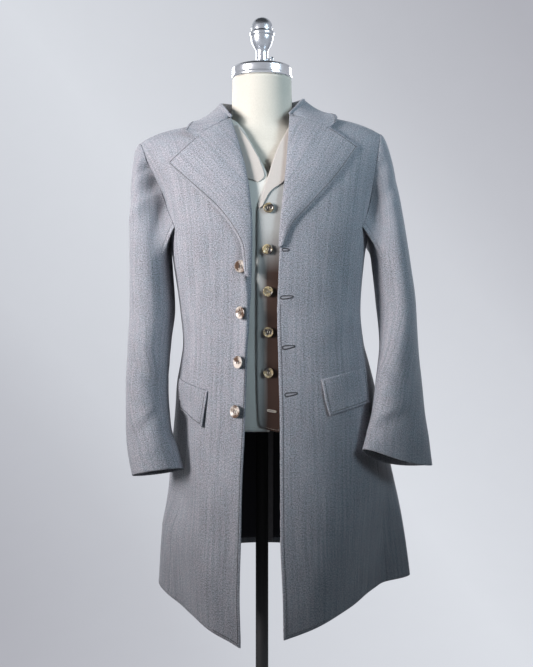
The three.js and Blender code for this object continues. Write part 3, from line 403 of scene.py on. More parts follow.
def cloth(name, skin, us, vs, thick, material, flip=False, level=False, closed=False, grain=0.5):
    """A thin wall with soft rims and a UV map in metres. Also gives its flat width, length and area."""
    U, V = np.meshgrid(us, vs)
    outer = skin(U, V)
    inner = outer - normals(skin, U, V, flip, level) * thick
    h, w = U.shape
    around = np.concatenate([outer, outer[:, :1]], 1) if closed else outer
    run = np.linalg.norm(np.diff(around, axis=1), axis=2)
    rise = np.linalg.norm(np.diff(outer, axis=0), axis=2)
    across = np.concatenate([np.zeros((h, 1)), np.cumsum(run, 1)], 1)[:, :w]
    up = np.concatenate([np.zeros((1, w)), np.cumsum(rise, 0)])
    middle = min(int(w * grain), w - 1)
    flat = np.stack([across - across[:, middle:middle + 1], up - up[h // 2]], -1).reshape(-1, 2) * MM
    uvs = np.concatenate([flat, flat])
    verts = np.concatenate([outer.reshape(-1, 3), inner.reshape(-1, 3)]) * MM
    off = h * w
    grid = np.arange(off).reshape(h, w)
    cells = np.concatenate([grid, grid[:, :1]], 1) if closed else grid
    a, b, c, d = cells[:-1, :-1], cells[:-1, 1:], cells[1:, 1:], cells[1:, :-1]
    quads = [np.stack(q, -1).reshape(-1, 4) for q in ((a, b, c, d), (off + a, off + d, off + c, off + b))]
    edges = [(grid[0], outer[0] - outer[1], False), (grid[-1], outer[-1] - outer[-2], True)]
    if not closed:
        edges.append((grid[:, 0], outer[:, 0] - outer[:, 1], True))
        edges.append((grid[:, -1], outer[:, -1] - outer[:, -2], False))
    rims = []
    for line, away, turned in edges:
        # A soft rim: the middle of the edge stands out a little.
        n = len(line)
        rim = len(verts) + np.arange(n)
        proud = (verts[line] + verts[off + line]) / 2 + unit(away) * thick * RIM_SHARE * MM
        verts = np.concatenate([verts, proud])
        uvs = np.concatenate([uvs, uvs[line]])
        k = np.arange(n if closed else n - 1)
        k2 = (k + 1) % n
        near = np.stack([line[k], rim[k], rim[k2], line[k2]], -1)
        far = np.stack([rim[k], off + line[k], off + line[k2], rim[k2]], -1)
        strip = np.concatenate([near, far])
        quads.append(strip[:, ::-1] if turned else strip)
        rims.append(rim)
    if not closed:
        low, high, left, right = rims
        for p, m1, m2 in (
            (0, left[0], low[0]), (w - 1, low[-1], right[0]), (off - w, high[0], left[-1]),
            (off - 1, right[-1], high[-1]),
        ):
            quads.append(np.array([[p, m1, off + p, m2]]))
    faces = np.concatenate(quads)
    obj = new_object(name, verts, (faces[:, ::-1] if flip else faces).tolist(), material)
    unwrap(obj, uvs)
    return obj, (float(run.sum(1).max()) * MM, float(rise.sum(0).max()) * MM, sheet_area(around))


def lathe(name, rows, sides, material, base=0.0, deep=1.0):
    """A body of revolution from rows of radius and height in mm, standing at a height."""
    a = circle(sides)
    rings = [np.stack([np.cos(a) * r, np.sin(a) * r * deep, np.full(sides, z + base)], -1) for r, z in rows]
    return new_object(name, np.concatenate(rings) * MM, ring_faces(len(rows), sides), material)


def smooth_profile(rows):
    """Rounds a lathe profile's corners a little by cutting each corner twice."""
    pts = np.array(rows, float)
    for _ in range(2):
        out = [pts[0]]
        for a, b in zip(pts[:-1], pts[1:]):
            out.append(a * 0.8 + b * 0.2)
            out.append(a * 0.2 + b * 0.8)
        out.append(pts[-1])
        pts = np.array(out)
    return pts


# Materials
class Value:
    """A value in a shader. Sums and products of values become math nodes."""

    def __init__(self, tree, socket):
        self.tree = tree
        self.socket = socket

    def math(self, operation, other=None):
        node = self.tree.nodes.new("ShaderNodeMath")
        node.operation = operation
        put(self.tree, node.inputs[0], self)
        if other is not None:
            put(self.tree, node.inputs[1], other)
        return Value(self.tree, node.outputs[0])

    def __add__(self, other):
        return self.math("ADD", other)

    def __sub__(self, other):
        return self.math("SUBTRACT", other)

    def __mul__(self, other):
        return self.math("MULTIPLY", other)

    def below(self, top):
        return self * -1.0 + top

    def clamped(self):
        return self.math("MAXIMUM", 0.0).math("MINIMUM", 1.0)


def put(tree, socket, value):
    if isinstance(value, Value):
        tree.links.new(value.socket, socket)
    else:
        socket.default_value = value


class Paint:
    """A material in the making."""

    def __init__(self, name):
        self.material = bpy.data.materials.new(name)
        self.material.use_nodes = True
        self.tree = self.material.node_tree
        self.tree.nodes.clear()
        out = self.tree.nodes.new("ShaderNodeOutputMaterial")
        self.shader = self.tree.nodes.new("ShaderNodeBsdfPrincipled")
        self.tree.links.new(self.shader.outputs[0], out.inputs[0])

    def node(self, kind, output=0, **inputs):
        """The output of a new node, with its inputs set or linked."""
        node = self.tree.nodes.new("ShaderNode" + kind)
        for key, value in inputs.items():
            put(self.tree, node.inputs[key], value)
        return Value(self.tree, node.outputs[output])

    def apart(self, point):
        """A point, and its three coordinates."""
        node = self.tree.nodes.new("ShaderNodeSeparateXYZ")
        put(self.tree, node.inputs[0], point)
        return [point] + [Value(self.tree, out) for out in node.outputs]

    def solid(self):
        return self.apart(self.node("TexCoord", "Object"))

    def flat(self):
        node = self.tree.nodes.new("ShaderNodeUVMap")
        node.uv_map = "UVMap"
        return self.apart(Value(self.tree, node.outputs[0]))

    def noise(self, point, scale, detail=3, rough=0.6):
        return self.node("TexNoise", Vector=point, Scale=scale, Detail=detail, Roughness=rough)

    def ramp(self, value, *stops):
        node = self.tree.nodes.new("ShaderNodeValToRGB")
        put(self.tree, node.inputs[0], value)
        elements = node.color_ramp.elements
        for element, (position, colour) in zip((elements[0], elements[1]), (stops[0], stops[-1])):
            element.position = position
            element.color = (*colour, 1)
        for position, colour in stops[1:-1]:
            elements.new(position).color = (*colour, 1)
        return Value(self.tree, node.outputs[0])

    def mixed(self, a, b, share, blend):
        node = self.tree.nodes.new("ShaderNodeMix")
        node.data_type = "RGBA"
        node.blend_type = blend
        for key, value in (("Factor", share), (6, a), (7, b)):
            put(self.tree, node.inputs[key], value)
        return Value(self.tree, node.outputs[2])

    def surface(self, colour, rough, relief, **levels):
        """Sets colour, roughness, relief as height, strength and distance, and further levels."""
        levels.update(Base_Color=colour, Roughness=rough)
        if relief:
            height, strength, distance = relief
            levels["Normal"] = self.node("Bump", Strength=strength, Distance=distance, Height=height)
        for key, value in levels.items():
            put(self.tree, self.shader.inputs[key.replace("_", " ")], value)
        return self.material


def mix_colour(a, b, share):
    return tuple(x + (y - x) * share for x, y in zip(a, b))


def sine(value, pitch):
    return (value * (2 * math.pi / pitch)).math("SINE")


def wool(name, dark, light):
    """Salt and pepper wool: a broken twill of dark and light yarns with faint lengthwise stripes."""
    m = Paint(name)
    uv, u, v, _ = m.flat()
    along = m.tree.nodes.new("ShaderNodeVectorMath")
    along.operation = "MULTIPLY"
    put(m.tree, along.inputs[0], uv)
    along.inputs[1].default_value = (1.0, 0.035, 1.0)
    streak = m.noise(Value(m.tree, along.outputs[0]), 190)
    # Columns of a herringbone: the twill leans one way, then the other.
    f = sine(v + u.math("PINGPONG", 0.011), 0.0021) * 0.08 + 0.5
    for scale, detail, rough, weight in ((1500, 2, 0.6, 0.9), (470, 3, 0.8, 2.0), (14, 3, 0.55, 0.2)):
        f = f + (m.noise(uv, scale, detail, rough) - 0.5) * weight
    f = f + (streak - 0.5) * 0.42
    grey = m.ramp(f, (0.1, dark), (0.5, mix_colour(dark, light, 0.5)), (0.9, light))
    # Lengthwise bands turn from bluish to rosy.
    tint = (m.noise(uv, 60, 2, 0.5) + streak) * 0.5
    hue = m.ramp(tint, (0.4, (0.965, 1.0, 1.01)), (0.6, (1.025, 0.99, 0.995)))
    return m.surface(
        m.mixed(grey, hue, 1.0, "MULTIPLY"), 0.92, (f, 0.35, 0.0004), Specular_IOR_Level=0.18,
        Sheen_Weight=0.2, Sheen_Roughness=0.45, Sheen_Tint=(0.75, 0.78, 0.86, 1),
    )


def satin(name, colour, lift, rough, sheen=0.1, gloss=0.35):
    m = Paint(name)
    uv, _, v, _ = m.flat()
    f = sine(v, 0.0007) * 0.12 + m.noise(uv, 60)
    c = m.ramp(f, (0.2, colour), (0.9, lift))
    return m.surface(c, rough, (f, 0.2, 0.0002), Specular_IOR_Level=gloss, Sheen_Weight=sheen)


def plain_weave(name, colour, lift, pitch, rough, sheen, depth, shade=None):
    m = Paint(name)
    uv, u, v, _ = m.flat()
    cloudy = m.noise(uv, 12, 3, 0.5)
    f = sine(u, pitch) * sine(v, pitch) * 0.12 + 0.2
    f = f + m.noise(uv, 240, 3, 0.7) * 0.4 + cloudy * 0.25
    c = m.ramp(f, (0.2, colour), (0.85, lift))
    if shade:
        # Painted shade: the low half darkens to brown away from its edge.
        _, x, _, z = m.solid()
        across = (x + 0.004 + (cloudy - 0.5) * 0.006) * 70.0
        down = z.below(1.258) * 13.0
        c = m.mixed(c, (*shade, 1), across.clamped() * down.clamped(), "MIX")
    return m.surface(
        c, rough, (f, depth, 0.0003), Specular_IOR_Level=0.25, Sheen_Weight=sheen, Sheen_Roughness=0.4,
    )


def horn(name, dark, light, scale):
    m = Paint(name)
    point = m.solid()[0]
    veins = m.noise(point, scale * 5, 2, 0.5)
    f = m.noise(point, scale, 4) * 0.8 + veins * 0.2
    c = m.ramp(f, (0.42, dark), (0.49, mix_colour(dark, light, 0.5)), (0.56, light))
    return m.surface(c, 0.28, (veins, 0.08, 0.0003), Coat_Weight=0.3, Coat_Roughness=0.2)


def metal(name, colour, rough):
    m = Paint(name)
    point, _, _, z = m.solid()
    worn = m.noise(point, 45, 4)
    f = (z * (900 * 6.28)).math("SINE") * 0.06 + worn
    c = m.ramp(f, (0.25, [k * 0.82 for k in colour]), (0.75, colour))
    return m.surface(c, worn * 0.16 + (rough - 0.08), (f, 0.05, 0.0002), Metallic=1.0)


def enamel(name, colour, lift, rough):
    m = Paint(name)
    peel = m.noise(m.solid()[0], 260, 2, 0.5)
    c = m.ramp(peel, (0.3, colour), (0.7, lift))
    return m.surface(c, peel * 0.1 + (rough - 0.05), (peel, 0.04, 0.0002))


def thread(name, colour, lift):
    m = Paint(name)
    twist = m.noise(m.solid()[0], 1800, 2, 0.5)
    c = m.ramp(twist, (0.3, colour), (0.7, lift))
    return m.surface(c, 0.6, (twist, 0.2, 0.0002), Sheen_Weight=0.2)


M_WOOL = wool("jacket_wool_twill", (0.065, 0.069, 0.078), (0.49, 0.51, 0.56))
M_LINING = satin("jacket_lining_satin", (0.0008, 0.0008, 0.002), (0.003, 0.003, 0.006), 0.65, 0.0, 0.08)
M_HEMBAND = satin("jacket_hem_facing", (0.012, 0.010, 0.012), (0.03, 0.026, 0.03), 0.6)
# The waistcoat's one cream cloth in two copies: a lighter one for the left front and a darker one for the
# right front, the difference being painted light and shade. The darker copy also takes painted brown shade
# in its low half.
M_VEST = plain_weave("vest_cream_cloth", (0.64, 0.65, 0.61), (0.78, 0.78, 0.74), 0.0011, 0.72, 0.3, 0.2)
M_VEST_SHADED = plain_weave(
    "vest_shaded_cloth", (0.38, 0.395, 0.385), (0.48, 0.495, 0.485), 0.0011, 0.72, 0.2, 0.2,
    (0.062, 0.035, 0.026),
)
M_VEST_LAPEL = plain_weave(
    "vest_lapel_cloth", (0.47, 0.435, 0.40), (0.60, 0.56, 0.52), 0.0011, 0.72, 0.3, 0.2,
)
M_VEST_BACK = satin("vest_back_satin", (0.04, 0.04, 0.05), (0.08, 0.08, 0.095), 0.45)
# Pale pink for the underlap's folded edge: a painted highlight on the fold.
M_EDGE = plain_weave("vent_edge_painted_highlight", (0.20, 0.15, 0.15), (0.36, 0.28, 0.28), 0.0012, 0.8, 0.3, 0.3)
M_FORM = plain_weave("form_buff_linen", (0.50, 0.48, 0.41), (0.74, 0.72, 0.65), 0.0013, 0.85, 0.2, 0.35)
M_JBUTTON = horn("jacket_button_horn", (0.10, 0.05, 0.025), (0.66, 0.60, 0.53), 75)
M_VBUTTON = horn("vest_button_horn", (0.018, 0.012, 0.012), (0.50, 0.40, 0.22), 66)
M_CAP = metal("form_cap_metal", (0.80, 0.82, 0.85), 0.2)
M_FINIAL = metal("form_finial_metal", (0.60, 0.63, 0.67), 0.26)
M_STAND = enamel("stand_black_enamel", (0.006, 0.006, 0.007), (0.010, 0.010, 0.012), 0.7)
M_STITCH = thread("thread_grey", (0.03, 0.033, 0.038), (0.10, 0.105, 0.12))
M_DARK_THREAD = thread("thread_dark", (0.006, 0.007, 0.010), (0.02, 0.022, 0.03))
M_PALE_THREAD = thread("thread_pale", (0.42, 0.38, 0.32), (0.62, 0.58, 0.50))
M_SLIT = thread("buttonhole_inside", (0.16, 0.17, 0.19), (0.36, 0.36, 0.39))
M_HOLE_SHADOW = enamel("button_hole_shadow", (0.01, 0.008, 0.006), (0.02, 0.015, 0.01), 0.8)


def sew(name, skin, us, vs, thick, material, node, slot, held="hung", rests=("form_torso",), **more):
    """A sheet of cloth that takes the place of a node, which it hides."""
    obj, (wide, long_, area) = cloth(name, skin, us, vs, thick, material, **more)
    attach(obj, "root")
    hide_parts(node)
    area = round(min(area, wide * long_), 5)
    list(rests)


def trim(obj, slot, *nodes):
    """Attaches a piece that isn't a sheet, and hides the nodes it replaces."""
    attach(obj, "root")
    if nodes:
        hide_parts(*nodes)


# Jacket body
def hem_z(side, turn):
    return HEM_Z - FRONT_POINT_DROP[side] * (1 - ease((np.abs(turn) - 6) / 36))


def side_front(side, z):
    """The side front seam runs a little further back towards the hem on the fuller right side."""
    return SIDE_FRONT + (8 * ease((900 - z) / 308) if side > 0 else 0 * z)


def front_skin(side):
    edge = EDGE[side]
    neck_z = float((SHOULDER_LEFT if side < 0 else SHOULDER_RIGHT).read("z", NECK_HALF))

    def low(u, z):
        start = np.abs(turn_of(JACKET, side * edge.read("x", z), z))
        return ring_point(JACKET, side * mix(start, side_front(side, z) - 0.05, u), z)

    def spread(u):
        zz = np.full(np.shape(u), ARMPIT_Z)
        a, b = np.abs(low(np.zeros_like(u), zz)[..., 0]), np.abs(low(np.ones_like(u), zz)[..., 0])
        return (np.abs(low(u, zz)[..., 0]) - a) / (b - a)

    def skin(u, v):
        u, v = both(u, v)
        vl = np.minimum(v, LOW) / LOW
        rough = mix(HEM_Z, ARMPIT_Z, vl)
        start = np.abs(turn_of(JACKET, side * edge.read("x", rough), rough))
        p = low(u, mix(hem_z(side, mix(start, side_front(side, rough), u)), ARMPIT_Z, vl))
        if side < 0:
            p[..., 1] -= roll_lift(-p[..., 0] - edge.read("x", p[..., 2]), p[..., 2])
        rise = np.clip((v - LOW) / (1 - LOW), 0, 1)
        ex = edge.read("x", mix(ARMPIT_Z, neck_z, np.sin(rise * 90 * DEG)))
        ax = ARMHOLE[side].read("front", rise) - SEAM
        q = high_point("jacket", side * mix(ex, ax, spread(u)), rise, False)
        # Soft hollows of the chest beside the armhole
        for cx, cz, wx, wz, up in CHEST[side]:
            d = up * np.exp(-(((side * q[..., 0]) - cx) / wx) ** 2 - ((q[..., 2] - cz) / wz) ** 2)
            q[..., 1] -= d * (1 - rise)
        return pick(v > LOW, q, p)

    return skin


CHEST = {
    -1: [(176, 1318, 14, 34, -3.0), (160, 1322, 12, 40, 2.0)],
    1: [(182, 1312, 14, 40, -2.6), (164, 1318, 12, 44, 1.8)],
}


def side_skin(side):
    def skin(u, v):
        u, v = both(u, v)
        z = mix(HEM_Z, ARMPIT_Z - 1.0, v)
        return ring_point(JACKET, side * mix(side_front(side, z) + 0.05, SIDE_BACK - 0.05, u), z)

    return skin


def back_skin(side):
    a, b = SIDE_BACK + 0.05, 180 - 0.06
    deep = float(JACKET.read("back", ARMPIT_Z)) - RIDGE_Y

    def low(u, z):
        return ring_point(JACKET, side * mix(a, b, u), z)

    def base(u):
        return np.abs(low(u, np.full(np.shape(u), ARMPIT_Z))[..., 0])

    def skin(u, v):
        u, v = both(u, v)
        p = low(u, mix(HEM_Z, ARMPIT_Z, np.minimum(v, LOW) / LOW))
        b0, b1 = base(np.zeros_like(u)), base(np.ones_like(u))
        part = (base(u) - b1) / (b0 - b1)
        share = np.clip((v - LOW) / (1 - LOW), 0, 1)
        top = mix(b1, ARMHOLE[side].read("back", 1.0) - SEAM, part)
        neck = (NECK_BACK_Y - RIDGE_Y) * np.sqrt(np.clip(1 - (top / NECK_HALF) ** 2, 0, 1))
        end = np.arccos(np.clip((neck / deep) ** 1.2, 0, 1)) / (90 * DEG)
        end = np.where(np.abs(top) < NECK_HALF, end, 1.0)
        rise = share * end
        x = mix(b1, ARMHOLE[side].read("back", rise) - SEAM, part)
        q = high_point("jacket", side * x, rise, True)
        return pick(v > LOW, q, p)

    return skin


VROWS = np.concatenate([steps(0, LOW, 120), steps(LOW, 1, 70)[1:]])
LINE_V = steps(0.012, 0.39, 60)
for side, tag in SIDES:
    flip = side < 0
    front, flank, back = front_skin(side), side_skin(side), back_skin(side)
    across = np.concatenate([steps(0, 0.12, 22), steps(0.12, 1, 70)[1:]]) if side < 0 else steps(0, 1, 80)
    over_vest = ("form_torso", "cloth_vest_front_" + tag)
    for part, skin, us, vs, rests, more in (
        ("front", front, across, VROWS, over_vest, {"level": True, "grain": 0.1}),
        ("side", flank, steps(0, 1, 44), steps(0, 1, 120), ("form_torso",), {}),
        ("back", back, steps(0, 1, 60), VROWS, ("form_torso",), {"level": True, "grain": 0.95}),
    ):
        name = part + "_" + tag
        sew("cloth_" + name, skin, us, vs, JACKET_WALL, M_WOOL, "jacket_" + name, "jacket_wool",
            rests=rests, flip=flip, **more)
    for part, skin, us in (
        ("front", front, steps(0.3334, 1, 40)),
        ("side", lambda u, v: flank(u, v / LOW), steps(0, 1, 30)),
        ("back", back, steps(0, 1, 40)),
    ):
        name = part + "_" + tag
        inside = moved(skin, flip, -(JACKET_WALL + 0.4))
        sew("lining_skirt_" + name, inside, us, LINE_V, LINING_WALL, M_LINING, "lining_" + name,
            "jacket_lining", rests=("cloth_" + name,), flip=flip)

# Vent underlap, with its folded edge coloured pale pink as a painted highlight
UNDERLAP_INSET = JACKET_WALL + 1.0 + 1.6


def underlap(u, v):
    z = mix(HEM_Z + 6, VENT_TOP_Z, v)
    g = girth(JACKET, z)
    x = mix(-8, 24, u)
    turn = 180 - np.arcsin((np.abs(x) / g["right"]) ** (g["sqBack"] / 2)) / DEG
    return ring_point(JACKET, np.where(x < 0, -1, 1) * turn, z, -UNDERLAP_INSET)


def underlap_edge(u, v):
    return underlap(0.955 + 0.05 * u, mix(0.05, 1, v)) + np.array([0, -0.6, 0])


sew("cloth_vent_underlap", underlap, steps(0, 1, 12), steps(0, 1, 60), 1.5, M_HEMBAND,
    "jacket_vent_underlap", "jacket_wool", rests=("cloth_back_left",), flip=True)
edge, _ = cloth("cloth_vent_edge", underlap_edge, steps(0, 1, 3), steps(0, 1, 40), 0.5, M_EDGE, True)
trim(edge, "jacket_wool")

# Lapels
LAPELS = {
    -1: Table(["v", "rollX", "rollZ", "freeX", "freeZ"], [
        [0, 18, 1174, 29, 1178], [0.15, 17, 1222, 35, 1226], [0.32, 17, 1268, 55, 1264],
        [0.48, 21, 1315, 79, 1294], [0.66, 29, 1362, 114, 1327], [1, 57, 1461, 171, 1379],
    ]),
    1: Table(["v", "rollX", "rollZ", "freeX", "freeZ"], [
        [0, 29, 1226, 39, 1230], [0.15, 31, 1262, 53, 1262], [0.34, 36, 1310, 92, 1306],
        [0.6, 43, 1372, 136, 1356], [1, 51, 1466, 174, 1408],
    ]),
}
GORGE = {-1: (0.55, 118, 1421), 1: (0.57, 121, 1440)}


def out_from(layer, side, x, z, out):
    """A point that shows at x and z from the front, some mm out from the layer."""
    e = 1.5
    dx = front_point(layer, side * (x + e), z) - front_point(layer, side * (x - e), z)
    dz = front_point(layer, side * x, z + e) - front_point(layer, side * x, z - e)
    n = unit(np.cross(dx, dz))
    n = np.where(n[..., 1:2] > 0, -n, n)
    return front_point(layer, side * x, z) + n * np.asarray(out)[..., None]


def lapel_place(side, u, v):
    rows = LAPELS[side]
    share, gx, gz = GORGE[side]
    rx, rz, fx, fz = (rows.read(n, v) for n in ("rollX", "rollZ", "freeX", "freeZ"))
    lx, lz = rows.col["rollX"][-1], rows.col["rollZ"][-1]
    mx, mz = rows.col["freeX"][-1], rows.col["freeZ"][-1]
    reach = np.where(u < share, share, 1 - share)
    bend = np.maximum(0, 1 - np.abs(u - share) / reach) * np.clip(v, 0, 1) ** 3
    x = mix(rx, fx, u) + bend * (gx - mix(lx, mx, share))
    z = mix(rz, fz, u) + bend * (gz - mix(lz, mz, share))
    return x, z


def lapel_skin(side):
    base = 3.7 if side < 0 else 3.3

    def skin(u, v):
        u, v = both(u, v)
        x, z = lapel_place(side, u, v)
        # The inner edge curls back towards the front that it folds from.
        roll = np.clip(1 - u / 0.10, 0, 1)
        belly = np.sin(math.pi * np.clip(u, 0, 1)) * 3.5
        if side < 0:
            belly = belly + 10 * (1 - np.clip(v / 0.3, 0, 1)) ** 2
        p = out_from("jacket", side, x, z, base + belly)
        p[..., 1] += 2.6 * roll * roll
        p[..., 0] -= side * 0.8 * roll
        return p

    return skin


us = np.concatenate([steps(0, 0.12, 12), steps(0.12, 1, 60)[1:]])
for side, tag in SIDES:
    sew("cloth_lapel_" + tag, lapel_skin(side), us, steps(0, 1, 110), 2.0, M_WOOL, "jacket_lapel_" + tag,
        "jacket_wool", "folded", ("cloth_front_" + tag,), flip=side < 0, grain=0.9)

# Collar
COLLAR = Table(["w", "rollX", "rollY", "rollZ", "freeX", "freeY", "freeZ", "footX", "footY", "footZ"], [
    [0, -60, -78, 1467, -139, -66, 1441, -56, -70, 1461],
    [0.1, -69, -50, 1485, -137, -38, 1455, -63, -48, 1472],
    [0.22, -78, -6, 1502, -134, 0, 1466, -69, -6, 1481],
    [0.36, -58, 44, 1511, -92, 56, 1460, -56, 38, 1478],
    [0.5, 0, 66, 1514, 0, 84, 1450, 0, 62, 1474],
    [0.64, 60, 44, 1515, 94, 56, 1470, 57, 38, 1482],
    [0.78, 78, -6, 1511, 134, 0, 1482, 69, -6, 1487],
    [0.9, 66, -48, 1491, 139, -40, 1470, 60, -46, 1478],
    [1, 54, -78, 1473, 134, -62, 1457, 50, -70, 1466],
])
FOLD_RADIUS = 4.0
GORGE_SHARE = 0.6
END_SHARE = 0.12


def gorge_point(s, free):
    """Both front ends of the collar: along the gorge seam to the notch, then free to the corner."""
    t = np.clip(s / GORGE_SHARE, 0, 1)
    out = []
    for side in (-1, 1):
        skin = lapel_skin(side)
        share = GORGE[side][0] * t
        p = skin(share, np.ones_like(share))
        up = unit(p - skin(share, np.full_like(share, 0.985)))
        out.append(p + up * 0.8)
    p = pick(free[..., 0] < 0, out[0], out[1])
    return mix(p, free, np.clip((s - GORGE_SHARE) / (1 - GORGE_SHARE), 0, 1)[..., None])


def collar_skin(w, u):
    w, u = both(w, u)
    wc = np.clip(w, 0, 1)
    roll = np.stack([COLLAR.read(n, wc) for n in ("rollX", "rollY", "rollZ")], -1)
    free = np.stack([COLLAR.read(n, wc) for n in ("freeX", "freeY", "freeZ")], -1)
    foot = np.stack([COLLAR.read(n, wc) for n in ("footX", "footY", "footZ")], -1)
    away = free - foot
    away[..., 2] = 0
    away = unit(away)
    middle = roll - np.array([0, 0, FOLD_RADIUS])

    end = ease(1 - np.minimum(w, 1 - w) / END_SHARE)[..., None]
    radius = FOLD_RADIUS * (1 - 0.6 * end)

    def turn(a):
        a = np.asarray(a)[..., None]
        return middle + away * radius * np.cos(a) + np.array([0, 0, 1.0]) * radius * np.sin(a)

    stand = mix(foot, turn(np.full(w.shape, math.pi)), (u / 0.3)[..., None])
    arc = turn(math.pi * (1 - (u - 0.3) / 0.2))
    s = np.clip((u - 0.5) / 0.5, -0.2, 1.2)
    fall = mix(turn(np.zeros(w.shape)), free, s[..., None])
    sc = np.clip(s, 0, 1)
    fall[..., 2] -= np.sin(math.pi * sc) * 5 * ease(np.minimum(wc, 1 - wc) / 0.15)
    fall = mix(fall, gorge_point(sc, free), end)
    shift = (gorge_point(np.zeros(w.shape), free) - turn(np.zeros(w.shape))) * end
    shift = shift * np.minimum(1, u / 0.5)[..., None]
    return pick(u < 0.3, stand + shift, pick(u < 0.5, arc + shift, fall))


us = np.concatenate([steps(0, 0.3, 8), steps(0.3, 0.5, 14)[1:], steps(0.5, 1, 34)[1:]])
sew("cloth_collar", collar_skin, steps(0, 1, 170), us, JACKET_WALL, M_WOOL, "jacket_collar", "jacket_wool",
    "folded", ("cloth_back_left", "cloth_back_right"))

# Pocket flaps
FLAPS = {
    -1: (94, 975, 150, 987, 157, 930, 103, 913),
    1: (101, 996, 186, 1009, 188, 948, 114, 935),
}


def flap_skin(side):
    x1, z1, x2, z2, x3, z3, x4, z4 = FLAPS[side]

    def skin(u, v):
        u, v = both(u, v)
        x = mix(mix(x4, x3, u), mix(x1, x2, u), v)
        z = mix(mix(z4, z3, u), mix(z1, z2, u), v)
        bow = 1.2 * np.sin(math.pi * np.clip(u, 0, 1)) * (1 - v)
        return ring_point(JACKET, turn_of(JACKET, side * x, z), z, mix(7.6, 3.0, v) - bow)

    return skin


for side, tag in SIDES:
    sew("cloth_flap_" + tag, flap_skin(side), steps(0, 1, 40), steps(0, 1, 30), 2.0, M_WOOL,
        "jacket_flap_" + tag, "jacket_wool", rests=("cloth_front_" + tag,), flip=side < 0)

# Sleeves
SLEEVE_NAMES = ["z", "x", "y", "wide", "deep", "spin", "slant", "tip", "dip"]
SLEEVE = {
    -1: Table(SLEEVE_NAMES, [
        [823, 187, -79, 46, 48, 23, 17, 0, 0], [858, 197, -69, 45, 50, 20, 12, 0, 0],
        [900, 208, -52, 41, 54, 12, 4, 0, 0],
        [975, 213, -32, 39, 60, 2, 0, 0, 0], [1050, 211, -18, 40, 66, 0, 0, 0, 0],
        [1110, 207, -8, 42, 70, 0, 0, 0, 0],
        [1190, 210, -4, 40, 73, 0, 0, 0, 0],
    ]),
    1: Table(SLEEVE_NAMES, [
        [843, 246, -72, 31, 82, 56, 26, 6.75, -5], [880, 247, -68, 32, 75, 54, 14, 3, -2],
        [930, 250, -56, 34, 69, 44, 4, 0, 0], [1000, 254, -36, 36, 69, 28, 0, 0, 0],
        [1050, 256, -22, 36, 70, 14, 0, 0, 0],
        [1130, 252, -8, 36, 73, 0, 0, 0, 0], [1200, 244, -4, 35, 75, 0, 0, 0, 0],
    ]),
}
# Creases: angle round the sleeve, height, tilt, width, breadth, lift
CREASES = {
    -1: [
        [70, 1345, 0.6, 40, 16, -5], [60, 1300, 0.5, 44, 14, 3], [90, 1000, -0.4, 50, 12, -5],
        [80, 960, -0.4, 50, 14, 3], [60, 900, 0.5, 50, 16, -4], [250, 1010, 0.3, 50, 14, -4],
    ],
    1: [
        [60, 1330, -0.5, 40, 16, -4], [90, 1010, 0.4, 50, 13, -5], [60, 960, 0.4, 55, 14, 3],
        [70, 905, -0.4, 50, 16, -4], [250, 1030, -0.3, 50, 14, -4],
    ],
}
# Finer creases that only the cloth itself shows
FINE = {
    -1: [
        [50, 1372, 0.9, 22, 9, -3], [75, 1320, 0.7, 26, 8, 2], [40, 1385, 0.5, 16, 8, 2],
        [95, 1040, -0.5, 34, 8, 2],
        [60, 1020, -0.5, 30, 7, -2], [110, 980, -0.4, 34, 8, -2.2], [70, 870, 0.4, 30, 8, 2],
        [85, 930, 0.5, 34, 9, 2],
        [230, 1040, 0.4, 34, 9, -2.5], [270, 980, -0.4, 34, 9, -2.2], [290, 1340, 0.5, 30, 12, -2.5],
    ],
    1: [
        [60, 1372, -0.8, 22, 9, -2.4], [80, 1300, -0.6, 28, 9, 2], [90, 1050, 0.5, 34, 8, 2],
        [60, 1030, 0.5, 30, 8, -2], [100, 985, 0.4, 34, 8, -2.2], [75, 930, -0.4, 30, 9, 2],
        [240, 1050, -0.4, 34, 9, -2.5], [270, 990, 0.4, 34, 9, -2.2], [290, 1340, -0.5, 30, 12, -2.5],
    ],
}
CAP = 0.34


def arm_loop(side):
    pts = []
    rise = np.linspace(1, 0, 49)
    pts.append(high_point("jacket", side * ARMHOLE[side].read("front", rise), rise, False))
    turns = np.linspace(SIDE_FRONT, SIDE_BACK, 25)[1:-1]
    pts.append(ring_point(JACKET, side * turns, np.full(turns.shape, ARMPIT_Z)))
    rise = np.linspace(0, 1, 49)
    pts.append(high_point("jacket", side * ARMHOLE[side].read("back", rise), rise, True))
    P = np.concatenate(pts)
    run = np.concatenate([[0], np.cumsum(np.linalg.norm(np.diff(P, axis=0), axis=1))])
    bottom = run[49 + 11]

    def at(angle):
        a = np.mod(angle, 360.0)
        length = np.where(a <= 180, bottom * a / 180, mix(bottom, run[-1], (a - 180) / 180))
        return np.stack([np.interp(length, run, P[:, k]) for k in range(3)], -1)

    return at


